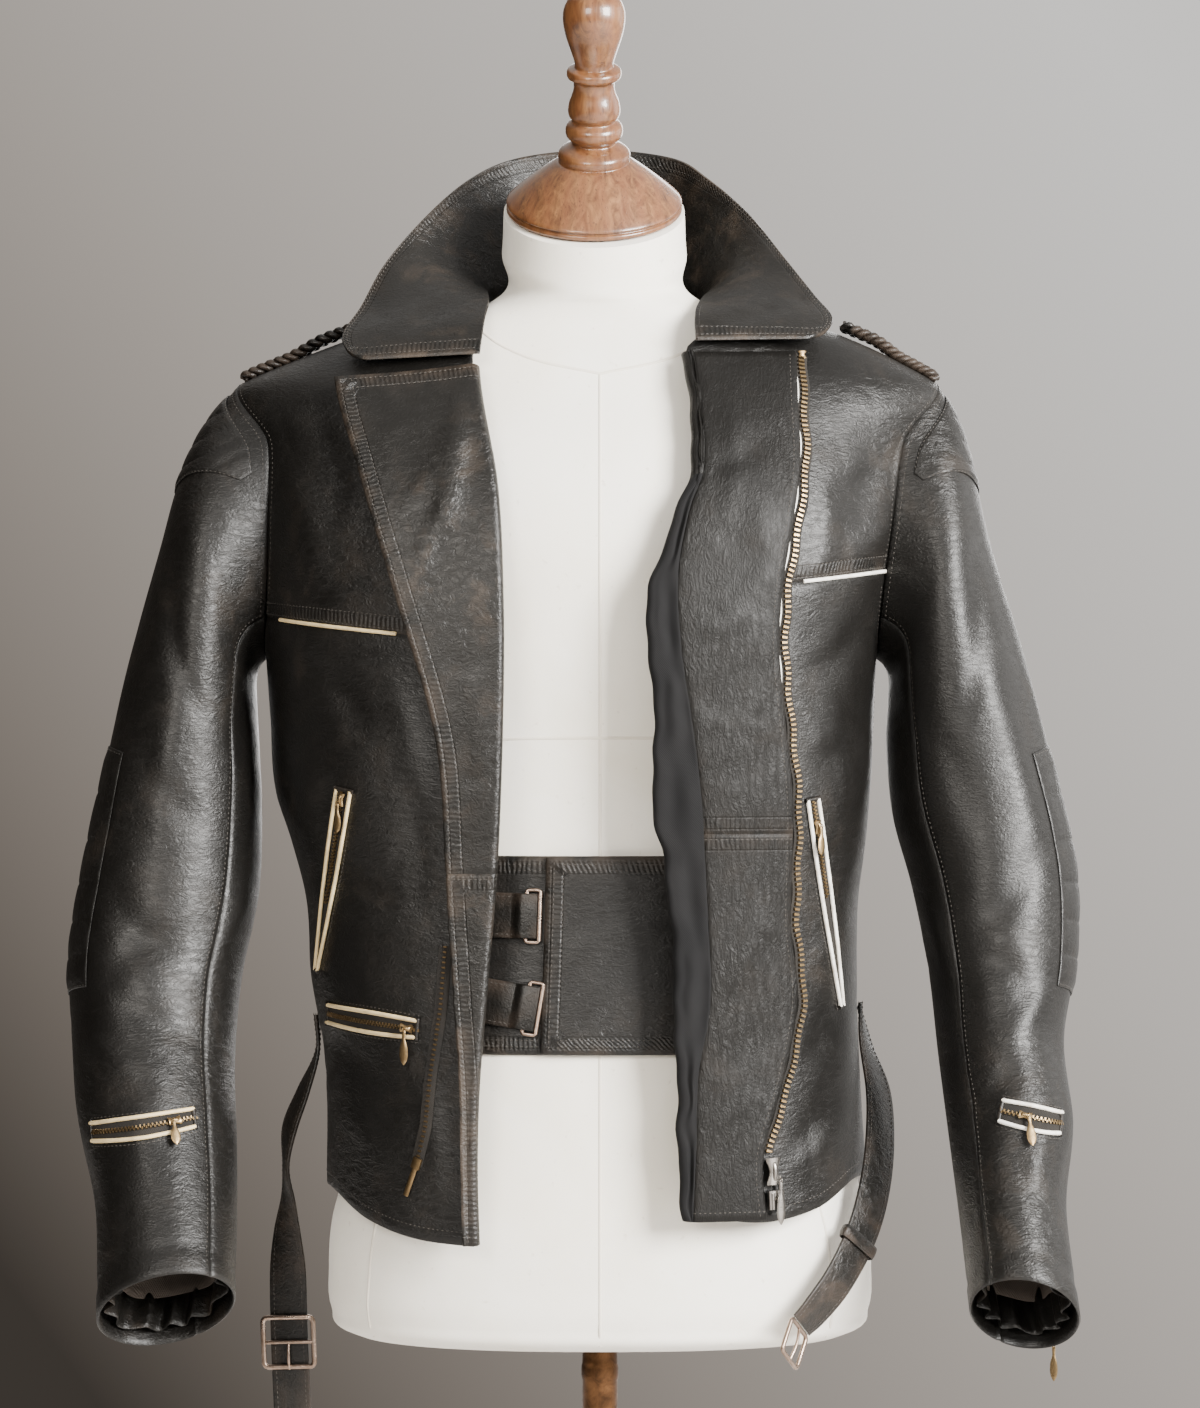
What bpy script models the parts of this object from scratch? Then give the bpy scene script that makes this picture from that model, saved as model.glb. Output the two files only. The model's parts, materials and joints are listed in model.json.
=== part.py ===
# A leather motorcycle jacket, worn open on a limbless dress form with a turned cap, a pole and a base.
# Metres, +Z up. The front faces -Y, the wearer's left is +X, and the floor is z = 0 under the pole.
import math

import bmesh
import bpy
import numpy as np
from mathutils import Matrix, Vector

# Driving dimensions
LEATHER = 0.0020            # wall of the body and the sleeves
FACING = 0.0024             # wall of the turned back facings
COLLAR_WALL = 0.0030        # two leathers and a stiffener
LINING = 0.0014
SEAM = 0.0003               # gap between two pieces at a seam
ARMHOLE_GAP = 0.0007        # the same where a sleeve turns off the body
REST = 0.0005               # gap between a piece and what it lies on
TURN_GAP = 0.0008           # gap between a front and the facing folded back over it

SHOULDER_TIP = 1.389        # top of the armhole
ARMPIT = 1.200
ARMHOLE_DEPTH = 0.058       # half its width, front to back
SLEEVE_COLUMNS = 16         # round a sleeve, and shared with the armhole's edge

RIGHT_FACING_LOW, RIGHT_WAIST_SEAM, RIGHT_FACING_TOP = 0.816, 1.058, 1.381
LEFT_FACING_LOW, LEFT_WAIST_SEAM, LEFT_FACING_TOP = 0.832, 1.084, 1.403
LAPEL_RISE = 0.013          # the lapel's top edge climbs this much towards the neck

BELT_TOP = 1.067            # the kidney belt round the form's waist
BELT_BOTTOM = 0.938
BELT_WALL = 0.0028
BELT_GAP = 0.0006
LAID = 0.0008               # lift of the small pieces laid on a panel
PAD_LIFT = 0.0013
ZIP_WIDTH = 0.0055
SLIDER_HEIGHT = 0.0042
SLIDER_LENGTH = 0.0085
PIPING_RADIUS = 0.0011
PIPING_PAST = 0.0026        # how far a pocket's piping runs past its zip
PIPING_BOW = 0.0012
MAIN_ZIP_WIDTH = 0.0090
ZIP_BOX_LOW, ZIP_BOX_TOP = 0.838, 0.874
BUCKLE_WIRE = 0.0016

POLE_RADIUS = 0.012
FORM_BOTTOM = 0.740
NECK_TOP = 1.508            # middle of the neck's slanting top
NECK_SLANT = math.radians(28.0)
CAP_X = -0.004
BASE_RADIUS = 0.150
BASE_TOP = 0.024


def table(columns, *rows):
    values = np.array(rows, dtype=float).T
    return dict(zip(columns.split(), values))


# The jacket's body as level sections: half widths to the wearer's left and right, and depths
BODY = table(
    "z      left   right  front  back   power",
    (0.800, 0.182, 0.186, 0.150, 0.133, 2.5),
    (0.850, 0.182, 0.187, 0.150, 0.130, 2.5),
    (0.900, 0.179, 0.187, 0.149, 0.1225, 2.5),
    (0.938, 0.177, 0.190, 0.148, 0.1168, 2.5),
    (0.985, 0.176, 0.198, 0.147, 0.1140, 2.5),
    (1.037, 0.177, 0.201, 0.146, 0.1130, 2.5),
    (1.075, 0.182, 0.211, 0.146, 0.1150, 2.5),
    (1.110, 0.185, 0.222, 0.147, 0.1190, 2.5),
    (1.160, 0.188, 0.226, 0.148, 0.126, 2.4),
    (1.215, 0.191, 0.230, 0.147, 0.134, 2.4),
    (1.260, 0.201, 0.234, 0.143, 0.139, 2.4),
    (1.300, 0.212, 0.239, 0.135, 0.139, 2.3),
    (1.345, 0.223, 0.244, 0.117, 0.128, 2.1),
    (1.389, 0.231, 0.246, 0.090, 0.104, 2.0),
    (1.403, 0.207, 0.214, 0.082, 0.094, 2.0),
    (1.417, 0.178, 0.178, 0.077, 0.086, 2.0),
    (1.431, 0.140, 0.138, 0.073, 0.080, 2.0),
    (1.445, 0.084, 0.088, 0.070, 0.077, 2.0),
    (1.466, 0.070, 0.072, 0.066, 0.076, 2.0))

# The form: level sections that lean towards the front as they reach the neck
FORM = table(
    "z       half    front  back    power lean",
    (0.7400, 0.168, 0.106, 0.108, 2.4, 0.00),
    (0.7440, 0.178, 0.114, 0.117, 2.4, 0.00),
    (0.7560, 0.184, 0.120, 0.123, 2.4, 0.00),
    (0.7850, 0.186, 0.123, 0.126, 2.4, 0.00),
    (0.8150, 0.184, 0.123, 0.126, 2.4, 0.00),
    (0.8500, 0.175, 0.119, 0.122, 2.4, 0.00),
    (0.9380, 0.164, 0.112, 0.1105, 2.4, 0.00),
    (1.0000, 0.154, 0.106, 0.098, 2.4, 0.00),
    (1.0670, 0.147, 0.102, 0.091, 2.4, 0.00),
    (1.1400, 0.146, 0.103, 0.092, 2.4, 0.00),
    (1.2100, 0.155, 0.112, 0.104, 2.4, 0.00),
    (1.2800, 0.170, 0.118, 0.114, 2.3, 0.00),
    (1.3400, 0.182, 0.102, 0.110, 2.1, 0.00),
    (1.3800, 0.187, 0.076, 0.086, 2.0, 0.00),
    (1.4030, 0.184, 0.066, 0.072, 2.0, 0.00),
    (1.4144, 0.1770, 0.061, 0.066, 2.0, 0.00),
    (1.4284, 0.1365, 0.057, 0.060, 2.0, 0.00),
    (1.4380, 0.0900, 0.058, 0.055, 2.0, 0.00),
    (1.4480, 0.0690, 0.060, 0.055, 2.0, 0.10),
    (1.4800, 0.0635, 0.060, 0.060, 2.0, 0.44),
    (1.5080, 0.0622, 0.060, 0.060, 2.0, 0.532))

# The fronts' edges by height: the fold the facing rolls round, and the edge the facing ends at
RIGHT_EDGE = table(
    "z      fold    free",
    (0.812, -0.0785, -0.0870),
    (0.860, -0.0800, -0.0880),
    (0.912, -0.0790, -0.0890),
    (0.976, -0.0740, -0.0935),
    (1.061, -0.0670, -0.0990),
    (1.146, -0.0635, -0.1050),
    (1.237, -0.0630, -0.1290),
    (1.306, -0.0670, -0.1500),
    (1.383, -0.0810, -0.1740),
    (1.405, -0.0820, -0.1800))
LEFT_EDGE = table(
    "z      fold    seam    free",
    (0.828, 0.0540, 0.0600, 0.1070),
    (0.870, 0.0510, 0.0620, 0.1040),
    (0.920, 0.0500, 0.0630, 0.1170),
    (0.975, 0.0485, 0.0710, 0.1270),
    (1.025, 0.0460, 0.0700, 0.1225),
    (1.062, 0.0420, 0.0680, 0.1235),
    (1.104, 0.0340, 0.0660, 0.1240),
    (1.158, 0.0360, 0.0590, 0.1190),
    (1.209, 0.0300, 0.0520, 0.1150),
    (1.243, 0.0320, 0.0500, 0.1170),
    (1.290, 0.0480, 0.0570, 0.1250),
    (1.325, 0.0600, 0.0670, 0.1300),
    (1.371, 0.0590, 0.0650, 0.1300),
    (1.411, 0.0530, 0.0600, 0.1300))

# The necklines of the fronts above the facings, by height
NECK_EDGE = table(
    "z      right   left",
    (1.405, -0.0860, 0.0600),
    (1.417, -0.0900, 0.0680),
    (1.431, -0.0930, 0.0760),
    (1.441, -0.0960, 0.0850))

# Hem heights along each front, from its folded edge (0) to the side seam (1)
HEM = table(
    "along right  left",
    (0.00, 0.815, 0.837),
    (0.20, 0.818, 0.830),
    (0.45, 0.828, 0.836),
    (0.70, 0.842, 0.851),
    (1.00, 0.843, 0.846))

# Rows of the body's panels: below the armpit, and above the shoulder tip
LOWER_ROWS = (0.843, 0.888, 0.938, 0.985, 1.037, 1.090, 1.145)
SHOULDER_ROWS = (1.403, 1.417, 1.431, 1.441)

# Sleeves as rings: the outer and inner silhouettes, the ring's middle y, half depth and tilt
RIGHT_SLEEVE = table(
    "row outer_x outer_z inner_x inner_z y     depth  tilt",
    (0, -0.246, 1.389, -0.228, 1.200, 0.000, 0.058, 0),
    (1, -0.270, 1.360, -0.233, 1.195, 0.000, 0.069, 0),
    (2, -0.288, 1.322, -0.236, 1.186, -0.001, 0.075, 0),
    (3, -0.301, 1.275, -0.2355, 1.170, -0.003, 0.076, 0),
    (4, -0.318, 1.212, -0.2335, 1.140, -0.007, 0.074, 1),
    (5, -0.334, 1.140, -0.2310, 1.095, -0.014, 0.071, 3),
    (6, -0.350, 1.060, -0.2320, 1.040, -0.026, 0.067, 6),
    (7, -0.358, 0.995, -0.2420, 0.985, -0.042, 0.063, 11),
    (8, -0.354, 0.940, -0.2450, 0.930, -0.062, 0.060, 17),
    (9, -0.346, 0.885, -0.2410, 0.880, -0.092, 0.056, 24),
    (10, -0.331, 0.833, -0.2380, 0.832, -0.124, 0.051, 30),
    (11, -0.325, 0.768, -0.2360, 0.786, -0.163, 0.045, 37))
LEFT_SLEEVE = table(
    "row outer_x outer_z inner_x inner_z y     depth  tilt",
    (0, 0.231, 1.389, 0.190, 1.200, 0.000, 0.058, 0),
    (1, 0.246, 1.360, 0.195, 1.195, 0.000, 0.069, 0),
    (2, 0.257, 1.322, 0.198, 1.186, -0.001, 0.075, 0),
    (3, 0.268, 1.275, 0.1975, 1.170, -0.003, 0.076, 0),
    (4, 0.287, 1.212, 0.1960, 1.140, -0.007, 0.074, 1),
    (5, 0.305, 1.140, 0.2000, 1.092, -0.014, 0.071, 3),
    (6, 0.322, 1.060, 0.2120, 1.045, -0.026, 0.067, 6),
    (7, 0.321, 0.995, 0.2220, 0.990, -0.042, 0.063, 11),
    (8, 0.311, 0.940, 0.2270, 0.935, -0.062, 0.060, 17),
    (9, 0.314, 0.885, 0.2320, 0.880, -0.092, 0.056, 24),
    (10, 0.306, 0.833, 0.2360, 0.832, -0.124, 0.051, 30),
    (11, 0.310, 0.768, 0.2390, 0.780, -0.163, 0.045, 37))
SLEEVE_ROWS = (0, 0.3, 0.6, 1, 1.5, 2, 2.5, 3, 4, 5, 6, 7, 8, 9, 10, 11)

# The collar from the wearer's right front, round the back, to the left front
COLLAR = table(
    "row neck_x  neck_y  neck_z  edge_x  edge_y  edge_z",
    (0, -0.0960, -0.0850, 1.4047, -0.166, -0.074, 1.401),
    (1, -0.0930, -0.0660, 1.4277, -0.174, -0.052, 1.418),
    (2, -0.0900, -0.0380, 1.4437, -0.163, -0.026, 1.440),
    (3, -0.0880, -0.0050, 1.4527, -0.148, 0.000, 1.472),
    (4, -0.0790, 0.0320, 1.4567, -0.122, 0.030, 1.507),
    (5, -0.0580, 0.0582, 1.4637, -0.091, 0.062, 1.538),
    (6, -0.0300, 0.0732, 1.4657, -0.057, 0.088, 1.556),
    (7, 0.0000, 0.0767, 1.4657, -0.002, 0.100, 1.563),
    (8, 0.0300, 0.0732, 1.4657, 0.050, 0.088, 1.556),
    (9, 0.0570, 0.0582, 1.4637, 0.074, 0.062, 1.539),
    (10, 0.0770, 0.0320, 1.4567, 0.103, 0.030, 1.510),
    (11, 0.0850, -0.0050, 1.4527, 0.127, 0.000, 1.476),
    (12, 0.0870, -0.0380, 1.4447, 0.146, -0.026, 1.448),
    (13, 0.0860, -0.0660, 1.4327, 0.157, -0.050, 1.430),
    (14, 0.0830, -0.0850, 1.4137, 0.148, -0.072, 1.416))

# Free belt ends, from the side of the waist down: middle line, and how far the strap's face is turned
RIGHT_BELT = table(
    "x       y       z      turn",
    (-0.1951, 0.004, 0.955, 90),
    (-0.1945, 0.002, 0.930, 84),
    (-0.2040, -0.002, 0.903, 70),
    (-0.2130, -0.006, 0.878, 66),
    (-0.2155, -0.008, 0.852, 80),
    (-0.2140, -0.008, 0.830, 68),
    (-0.2145, -0.008, 0.805, 42),
    (-0.2140, -0.008, 0.775, 14),
    (-0.2130, -0.008, 0.735, 8),
    (-0.2110, -0.008, 0.690, 5),
    (-0.2090, -0.008, 0.650, 2))
LEFT_BELT = table(
    "x       y       z      turn",
    (0.1786, 0.000, 0.962, 90),
    (0.1825, -0.006, 0.937, 68),
    (0.1900, -0.022, 0.905, 44),
    (0.1895, -0.044, 0.872, 34),
    (0.1840, -0.066, 0.842, 30),
    (0.1740, -0.084, 0.814, 32),
    (0.1580, -0.101, 0.787, 40),
    (0.1420, -0.111, 0.768, 52),
    (0.1330, -0.114, 0.759, 60))
BELT_STRAP_WIDTH = 0.026
BELT_STRAP_WALL = 0.0026
RIGHT_BUCKLE_Z = 0.730


# Smooth curve through a table's rows
def smooth(keys, values, at):
    at = np.clip(np.asarray(at, dtype=float), keys[0], keys[-1])
    slopes = np.gradient(values, keys)
    low = np.clip(np.searchsorted(keys, at) - 1, 0, len(keys) - 2)
    span = keys[low + 1] - keys[low]
    t = (at - keys[low]) / span
    return ((2 * t**3 - 3 * t**2 + 1) * values[low] + (t**3 - 2 * t**2 + t) * span * slopes[low]
            + (3 * t**2 - 2 * t**3) * values[low + 1] + (t**3 - t**2) * span * slopes[low + 1])


def columns_at(rows, key, at):
    return {name: smooth(rows[key], values, at) for name, values in rows.items() if name != key}


def unit(vectors):
    return vectors / np.maximum(np.linalg.norm(vectors, axis=-1, keepdims=True), 1e-12)


# A level section: turn 0 is the front, a quarter turn the wearer's left, half a turn the back
def section_point(left, right, front, back, power, turn, z):
    sine, cosine = np.sin(turn), np.cos(turn)
    bend = 2.0 / power
    x = np.where(sine > 0, left, right) * np.sign(sine) * np.abs(sine)**bend
    y = -np.where(cosine > 0, front, back) * np.sign(cosine) * np.abs(cosine)**bend
    return np.stack(np.broadcast_arrays(x, y, z), axis=-1)


def body_point(turn, z):
    s = columns_at(BODY, "z", z)
    return section_point(s["left"], s["right"], s["front"], s["back"], s["power"], turn, z)


def form_point(turn, z):
    s = columns_at(FORM, "z", z)
    point = section_point(s["half"], s["half"], s["front"], s["back"], s["power"], turn, z)
    point[..., 2] = point[..., 2] + s["lean"] * point[..., 1]
    return point


# Outward normals of a surface of turn and height
def surface_normal(surface, turn, z, step=0.01, rise=0.002):
    along = surface(turn + step, z) - surface(turn - step, z)
    up = surface(turn, z + rise) - surface(turn, z - rise)
    return unit(np.cross(along, up))


# The turn at which the body's section has this x, on its front
def turn_at_x(x, z):
    s = columns_at(BODY, "z", z)
    half = np.where(x > 0, s["left"], s["right"])
    return np.sign(x) * np.arcsin(np.clip(np.abs(x) / half, 0, 1)**(s["power"] / 2))


# The turn at which the section has this y, on one side (+1 is the wearer's left)
def turn_at_y(side, y, z):
    s = columns_at(BODY, "z", z)
    ahead = np.arccos(np.clip(np.abs(y) / s["front"], 0, 1)**(s["power"] / 2))
    behind = math.pi - np.arccos(np.clip(np.abs(y) / s["back"], 0, 1)**(s["power"] / 2))
    return side * np.where(y < 0, ahead, behind)


def armhole_height(angle):
    return (SHOULDER_TIP + ARMPIT) / 2 + (SHOULDER_TIP - ARMPIT) / 2 * np.cos(angle)


# The armhole's edge on the body: angle 0 is the shoulder tip, a quarter turn the front
def armhole_point(side, angle):
    z = armhole_height(angle)
    return body_point(turn_at_y(side, -ARMHOLE_DEPTH * np.sin(angle), z), z)


def armhole_turn(side, face, z):
    middle = (SHOULDER_TIP + ARMPIT) / 2
    angle = np.arccos(np.clip((z - middle) / (SHOULDER_TIP - middle), -1, 1))
    return turn_at_y(side, -face * ARMHOLE_DEPTH * np.sin(angle), z)


# Materials and mesh making
def material(name, color, roughness, metallic=0.0):
    made = bpy.data.materials.new(name)
    made.use_nodes = True
    shader = made.node_tree.nodes["Principled BSDF"]
    shader.inputs["Base Color"].default_value = (*color, 1.0)
    shader.inputs["Roughness"].default_value = roughness
    shader.inputs["Metallic"].default_value = metallic
    return made


def add_object(name, data, look):
    made = bpy.data.objects.new(name, data)
    data.materials.append(MATERIALS[look])
    PARTS.objects.link(made)
    return made


def mesh_object(name, points, faces, look):
    mesh = bpy.data.meshes.new(name)
    mesh.from_pydata([tuple(point) for point in points], [], faces)
    work = bmesh.new()
    work.from_mesh(mesh)
    bmesh.ops.recalc_face_normals(work, faces=work.faces)
    work.to_mesh(mesh)
    work.free()
    mesh.shade_smooth()
    mesh.set_sharp_from_angle(angle=math.radians(50.0))
    return add_object(name, mesh, look)


def grid_faces(rows, columns, closed, first=0):
    turns = columns if closed else columns - 1
    return [(first + r * columns + c, first + r * columns + (c + 1) % columns,
             first + (r + 1) * columns + (c + 1) % columns, first + (r + 1) * columns + c)
            for r in range(rows - 1) for c in range(turns)]


# A wall between an outer and an inner grid of points, closed at its edges
def wall(name, outer, inner, look, closed=False):
    rows, columns = outer.shape[:2]
    count = rows * columns
    faces = grid_faces(rows, columns, closed)
    faces += [face[::-1] for face in grid_faces(rows, columns, closed, count)]
    turns = columns if closed else columns - 1
    for c in range(turns):
        low, high = c, (c + 1) % columns
        last = (rows - 1) * columns
        faces.append((low, count + low, count + high, high))
        faces.append((last + low, last + high, count + last + high, count + last + low))
    if not closed:
        for r in range(rows - 1):
            start, end = r * columns, r * columns + columns - 1
            faces.append((start, start + columns, count + start + columns, count + start))
            faces.append((end, count + end, count + end + columns, end + columns))
    points = np.concatenate([outer.reshape(-1, 3), inner.reshape(-1, 3)])
    return mesh_object(name, points, faces, look)


# A solid through rings of points, with a flat face at each end
def ringed_solid(name, rings, look):
    rows, columns = rings.shape[:2]
    faces = grid_faces(rows, columns, True)
    faces.append(tuple(range(columns)))
    faces.append(tuple(range((rows - 1) * columns, rows * columns)))
    return mesh_object(name, rings.reshape(-1, 3), faces, look)


# A round wire or piping through points
def wire(name, points, radius, look, cyclic=False, resolution=0):
    curve = bpy.data.curves.new(name, "CURVE")
    curve.dimensions = "3D"
    curve.bevel_depth = radius
    curve.bevel_resolution = resolution
    curve.use_fill_caps = not cyclic
    spline = curve.splines.new("POLY")
    spline.points.add(len(points) - 1)
    for knot, point in zip(spline.points, points):
        knot.co = (*point, 1.0)
    spline.use_cyclic_u = cyclic
    return add_object(name, curve, look)


# A turned piece: radius and height pairs from its top down
def turned(name, profile, steps, look):
    mesh = bpy.data.meshes.new(name)
    points = [(radius, 0.0, height) for radius, height in profile]
    mesh.from_pydata(points, [(i, i + 1) for i in range(len(points) - 1)], [])
    made = add_object(name, mesh, look)
    screw = made.modifiers.new("Turn", "SCREW")
    screw.steps = steps
    screw.render_steps = steps
    screw.use_merge_vertices = True
    screw.merge_threshold = 0.0001
    screw.use_smooth_shade = True
    return made


# A panel keeps its outer points and normals, so that pieces can be laid on it
def make_panel(name, outer, normals, thickness, look, closed=False):
    wall(name, outer, outer - normals * thickness, look, closed)
    return {"points": outer, "normals": normals}


# The point of a panel at a fractional row and column, and its normal
def between(grid, row, column):
    row = np.clip(row, 0, grid.shape[0] - 1)
    column = np.clip(column, 0, grid.shape[1] - 1)
    r = np.minimum(row.astype(int), grid.shape[0] - 2)
    c = np.minimum(column.astype(int), grid.shape[1] - 2)
    u, v = (row - r)[..., None], (column - c)[..., None]
    return ((1 - u) * (1 - v) * grid[r, c] + (1 - u) * v * grid[r, c + 1]
            + u * (1 - v) * grid[r + 1, c] + u * v * grid[r + 1, c + 1])


# The row and column of a panel seen from the front at each x and z
def find_on(panel, spots):
    grid, spots = panel["points"], np.asarray(spots, dtype=float)
    rows, columns = np.meshgrid(np.linspace(0, grid.shape[0] - 1, 120),
                                np.linspace(0, grid.shape[1] - 1, 80), indexing="ij")
    seen = between(grid, rows, columns)
    away = between(panel["normals"], rows, columns)[..., 1] > 0.2
    places = []
    for x, z in spots:
        miss = (seen[..., 0] - x)**2 + (seen[..., 2] - z)**2 + away
        best = np.unravel_index(miss.argmin(), miss.shape)
        places.append((rows[best], columns[best]))
    row, column = np.array(places).T
    step = 0.01
    for _ in range(4):
        here = between(grid, row, column)[:, ::2]
        by_row = (between(grid, row + step, column)[:, ::2] - between(grid, row - step, column)[:, ::2])
        by_column = (between(grid, row, column + step)[:, ::2] - between(grid, row, column - step)[:, ::2])
        miss = spots - here
        size = by_row[:, 0] * by_column[:, 1] - by_row[:, 1] * by_column[:, 0]
        size = np.where(np.abs(size) < 1e-12, 1e-12, size) / (2 * step)
        row = row + np.clip((miss[:, 0] * by_column[:, 1] - miss[:, 1] * by_column[:, 0]) / size, -0.3, 0.3)
        column = column + np.clip((by_row[:, 0] * miss[:, 1] - by_row[:, 1] * miss[:, 0]) / size, -0.3, 0.3)
    return np.clip(row, 0, grid.shape[0] - 1), np.clip(column, 0, grid.shape[1] - 1)


# A path over a panel through spots in x and z, with a point wherever it passes onto another face:
# its points, its normals, and how far along the spots each lies
def path_on(panel, spots):
    spots = np.asarray(spots, dtype=float)
    keys = np.arange(len(spots), dtype=float)
    fine = np.linspace(0, len(spots) - 1, (len(spots) - 1) * 8 + 1)
    rows, columns = find_on(panel, np.stack([np.interp(fine, keys, spots[:, i]) for i in (0, 1)], axis=1))
    crossings = []
    for values in (rows, columns):
        for i in np.nonzero(np.diff(np.floor(values)))[0]:
            edge = max(math.floor(values[i]), math.floor(values[i + 1]))
            crossings.append(fine[i] + (edge - values[i]) / (values[i + 1] - values[i]) * (fine[1] - fine[0]))
    at = [0.0]
    last = keys[-1]
    for stop in sorted(crossings + list(keys[1:-1])):
        close = 0.12 if stop in crossings else 0.25
        if stop - at[-1] > close and last - stop > 0.12:
            at.append(stop)
    at = np.array(at + [last])
    row, column = np.interp(at, fine, rows), np.interp(at, fine, columns)
    return between(panel["points"], row, column), unit(between(panel["normals"], row, column)), at


def line_on(panel, ends, shares):
    ends = np.array(ends, dtype=float)
    keys = np.linspace(0, 1, len(ends))
    spots = np.stack([np.interp(shares, keys, ends[:, 0]), np.interp(shares, keys, ends[:, 1])], axis=1)
    points, normals, at = path_on(panel, spots)
    return points, normals, np.interp(at, np.arange(len(shares)), shares)


# A flat strip of box section: its bottom and top are heights over the middle line
def strip(name, middle, normals, width, bottom, top, look):
    along = unit(np.gradient(middle, axis=0))
    across = unit(np.cross(along, normals))
    half = across * (np.broadcast_to(width, len(middle)) / 2)[:, None]
    under = normals * np.broadcast_to(bottom, len(middle))[:, None]
    over = normals * np.broadcast_to(top, len(middle))[:, None]
    rings = np.stack([middle - half + under, middle + half + under,
                      middle + half + over, middle - half + over], axis=1)
    return ringed_solid(name, rings, look)


# The dress form, its turned cap and the stand
def make_form():
    turns = np.linspace(0, 2 * math.pi, 24, endpoint=False)
    heights = FORM["z"]
    rings = form_point(turns[None, :], heights[:, None])
    rings[..., 0] += CAP_X * np.clip((heights - 1.40) / 0.08, 0, 1)[:, None]
    ringed_solid("form_torso", rings, "linen_cover")


CAP_PROFILE = (
    (0.0, 0.1590), (0.0090, 0.1575), (0.0165, 0.1530), (0.0206, 0.1450), (0.0213, 0.1370),
    (0.0196, 0.1265), (0.0150, 0.1130), (0.0124, 0.1040), (0.0186, 0.1010), (0.0186, 0.0970),
    (0.0140, 0.0935), (0.0138, 0.0870), (0.0176, 0.0780), (0.0180, 0.0700), (0.0150, 0.0665),
    (0.0196, 0.0610), (0.0194, 0.0555), (0.0150, 0.0500), (0.0247, 0.0435), (0.0247, 0.0385),
    (0.0262, 0.0360), (0.0420, 0.0240), (0.0598, 0.0085), (0.0607, 0.0060), (0.0600, 0.0),
    (0.0, 0.0))


def make_cap():
    cap = turned("form_cap", CAP_PROFILE, 20, "walnut")
    axis = Vector((0.0, -math.sin(NECK_SLANT), math.cos(NECK_SLANT)))
    cap.location = Vector((CAP_X, 0.0, NECK_TOP)) + axis * SEAM
    cap.rotation_euler = (NECK_SLANT, 0.0, 0.0)


def make_stand():
    base = ((0.0, BASE_TOP), (0.022, BASE_TOP), (0.024, 0.022), (0.024, 0.016), (0.060, 0.015),
            (0.136, 0.012), (0.147, 0.009), (BASE_RADIUS, 0.004), (BASE_RADIUS, 0.0), (0.0, 0.0))
    turned("stand_base", base, 28, "black_iron")
    low, high = BASE_TOP + SEAM, FORM_BOTTOM - SEAM
    bpy.ops.mesh.primitive_cylinder_add(vertices=16, radius=POLE_RADIUS, depth=high - low,
                                        location=(0.0, 0.0, (low + high) / 2))
    pole = bpy.context.object
    pole.name = "stand_pole"
    pole.data.materials.append(MATERIALS["bronze_pole"])
    bpy.context.collection.objects.unlink(pole)
    PARTS.objects.link(pole)


# Heights of a panel's rows, hem to shoulder, and how many lie below the armpit
def row_heights():
    angles = np.linspace(math.pi, 0, SLEEVE_COLUMNS // 2 + 1)
    return np.concatenate([LOWER_ROWS, armhole_height(angles), SHOULDER_ROWS])


def seam_turn(z, side):
    s = columns_at(BODY, "z", z)
    return SEAM / np.where(side > 0, s["left"], s["right"])


# Where a front or the back ends at the side: the side seam, the armhole, then the shoulder's ridge
def side_turn(side, face, z):
    ridge = side * math.pi / 2
    trimmed = ridge - side * face * seam_turn(z, side)
    inside = (z > ARMPIT - 1e-6) & (z < SHOULDER_TIP + 1e-6)
    return np.where(inside, armhole_turn(side, face, z) - side * face * 0.3 * seam_turn(z, side), trimmed)


# A front's rows dip to the yoke seam and follow the hem
def front_heights(side, rows, along, yoke_row):
    hem = smooth(HEM["along"], HEM["left" if side > 0 else "right"], along)
    heights = np.broadcast_to(rows[:, None], (len(rows), len(along))).copy()
    fade = np.clip(1 - (rows - rows[0]) / 0.10, 0, 1)[:, None]
    heights += (hem - rows[0])[None, :] * fade
    dip = -0.019 * np.exp(-((rows - rows[yoke_row]) / 0.06)**2)
    open_rows = rows < SHOULDER_TIP - 0.01
    return heights + (dip * open_rows)[:, None] * (1 - along)[None, :]**1.2


def front_inner_x(side, z):
    edge = LEFT_EDGE if side > 0 else RIGHT_EDGE
    fold = smooth(edge["z"], edge["fold"], z)
    neck = smooth(NECK_EDGE["z"], NECK_EDGE["left" if side > 0 else "right"], z)
    return np.where(z > 1.412, neck, fold + side * 0.0042)


FRONT_COLUMNS = 9
YOKE_ANGLES_FROM_ARMPIT = {-1: 2, 1: 3}


def make_front(side, word):
    rows = row_heights()
    yoke_row = len(LOWER_ROWS) + YOKE_ANGLES_FROM_ARMPIT[side]
    along = np.linspace(0, 1, FRONT_COLUMNS)
    z = front_heights(side, rows, along, yoke_row)
    start = turn_at_x(front_inner_x(side, z), z)
    end = side_turn(side, 1, np.broadcast_to(rows[:, None], z.shape))
    turn = start + (end - start) * along[None, :]
    points = body_point(turn, z)
    normals = surface_normal(body_point, turn, z)
    cut = yoke_row + 1
    lower_z, upper_z = z[:cut].copy(), z[yoke_row:].copy()
    lower_z[-1] -= SEAM / 2
    upper_z[0] += SEAM / 2
    lower = make_panel(f"front_{word}_lower", body_point(turn[:cut], lower_z), normals[:cut],
                       LEATHER, "black_leather")
    upper = make_panel(f"front_{word}_yoke", body_point(turn[yoke_row:], upper_z), normals[yoke_row:],
                       LEATHER, "black_leather")
    return {"lower": lower, "yoke": upper, "points": points, "normals": normals}


BACK_COLUMNS = 17
BACK_NECK_RISE = 0.024


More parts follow.
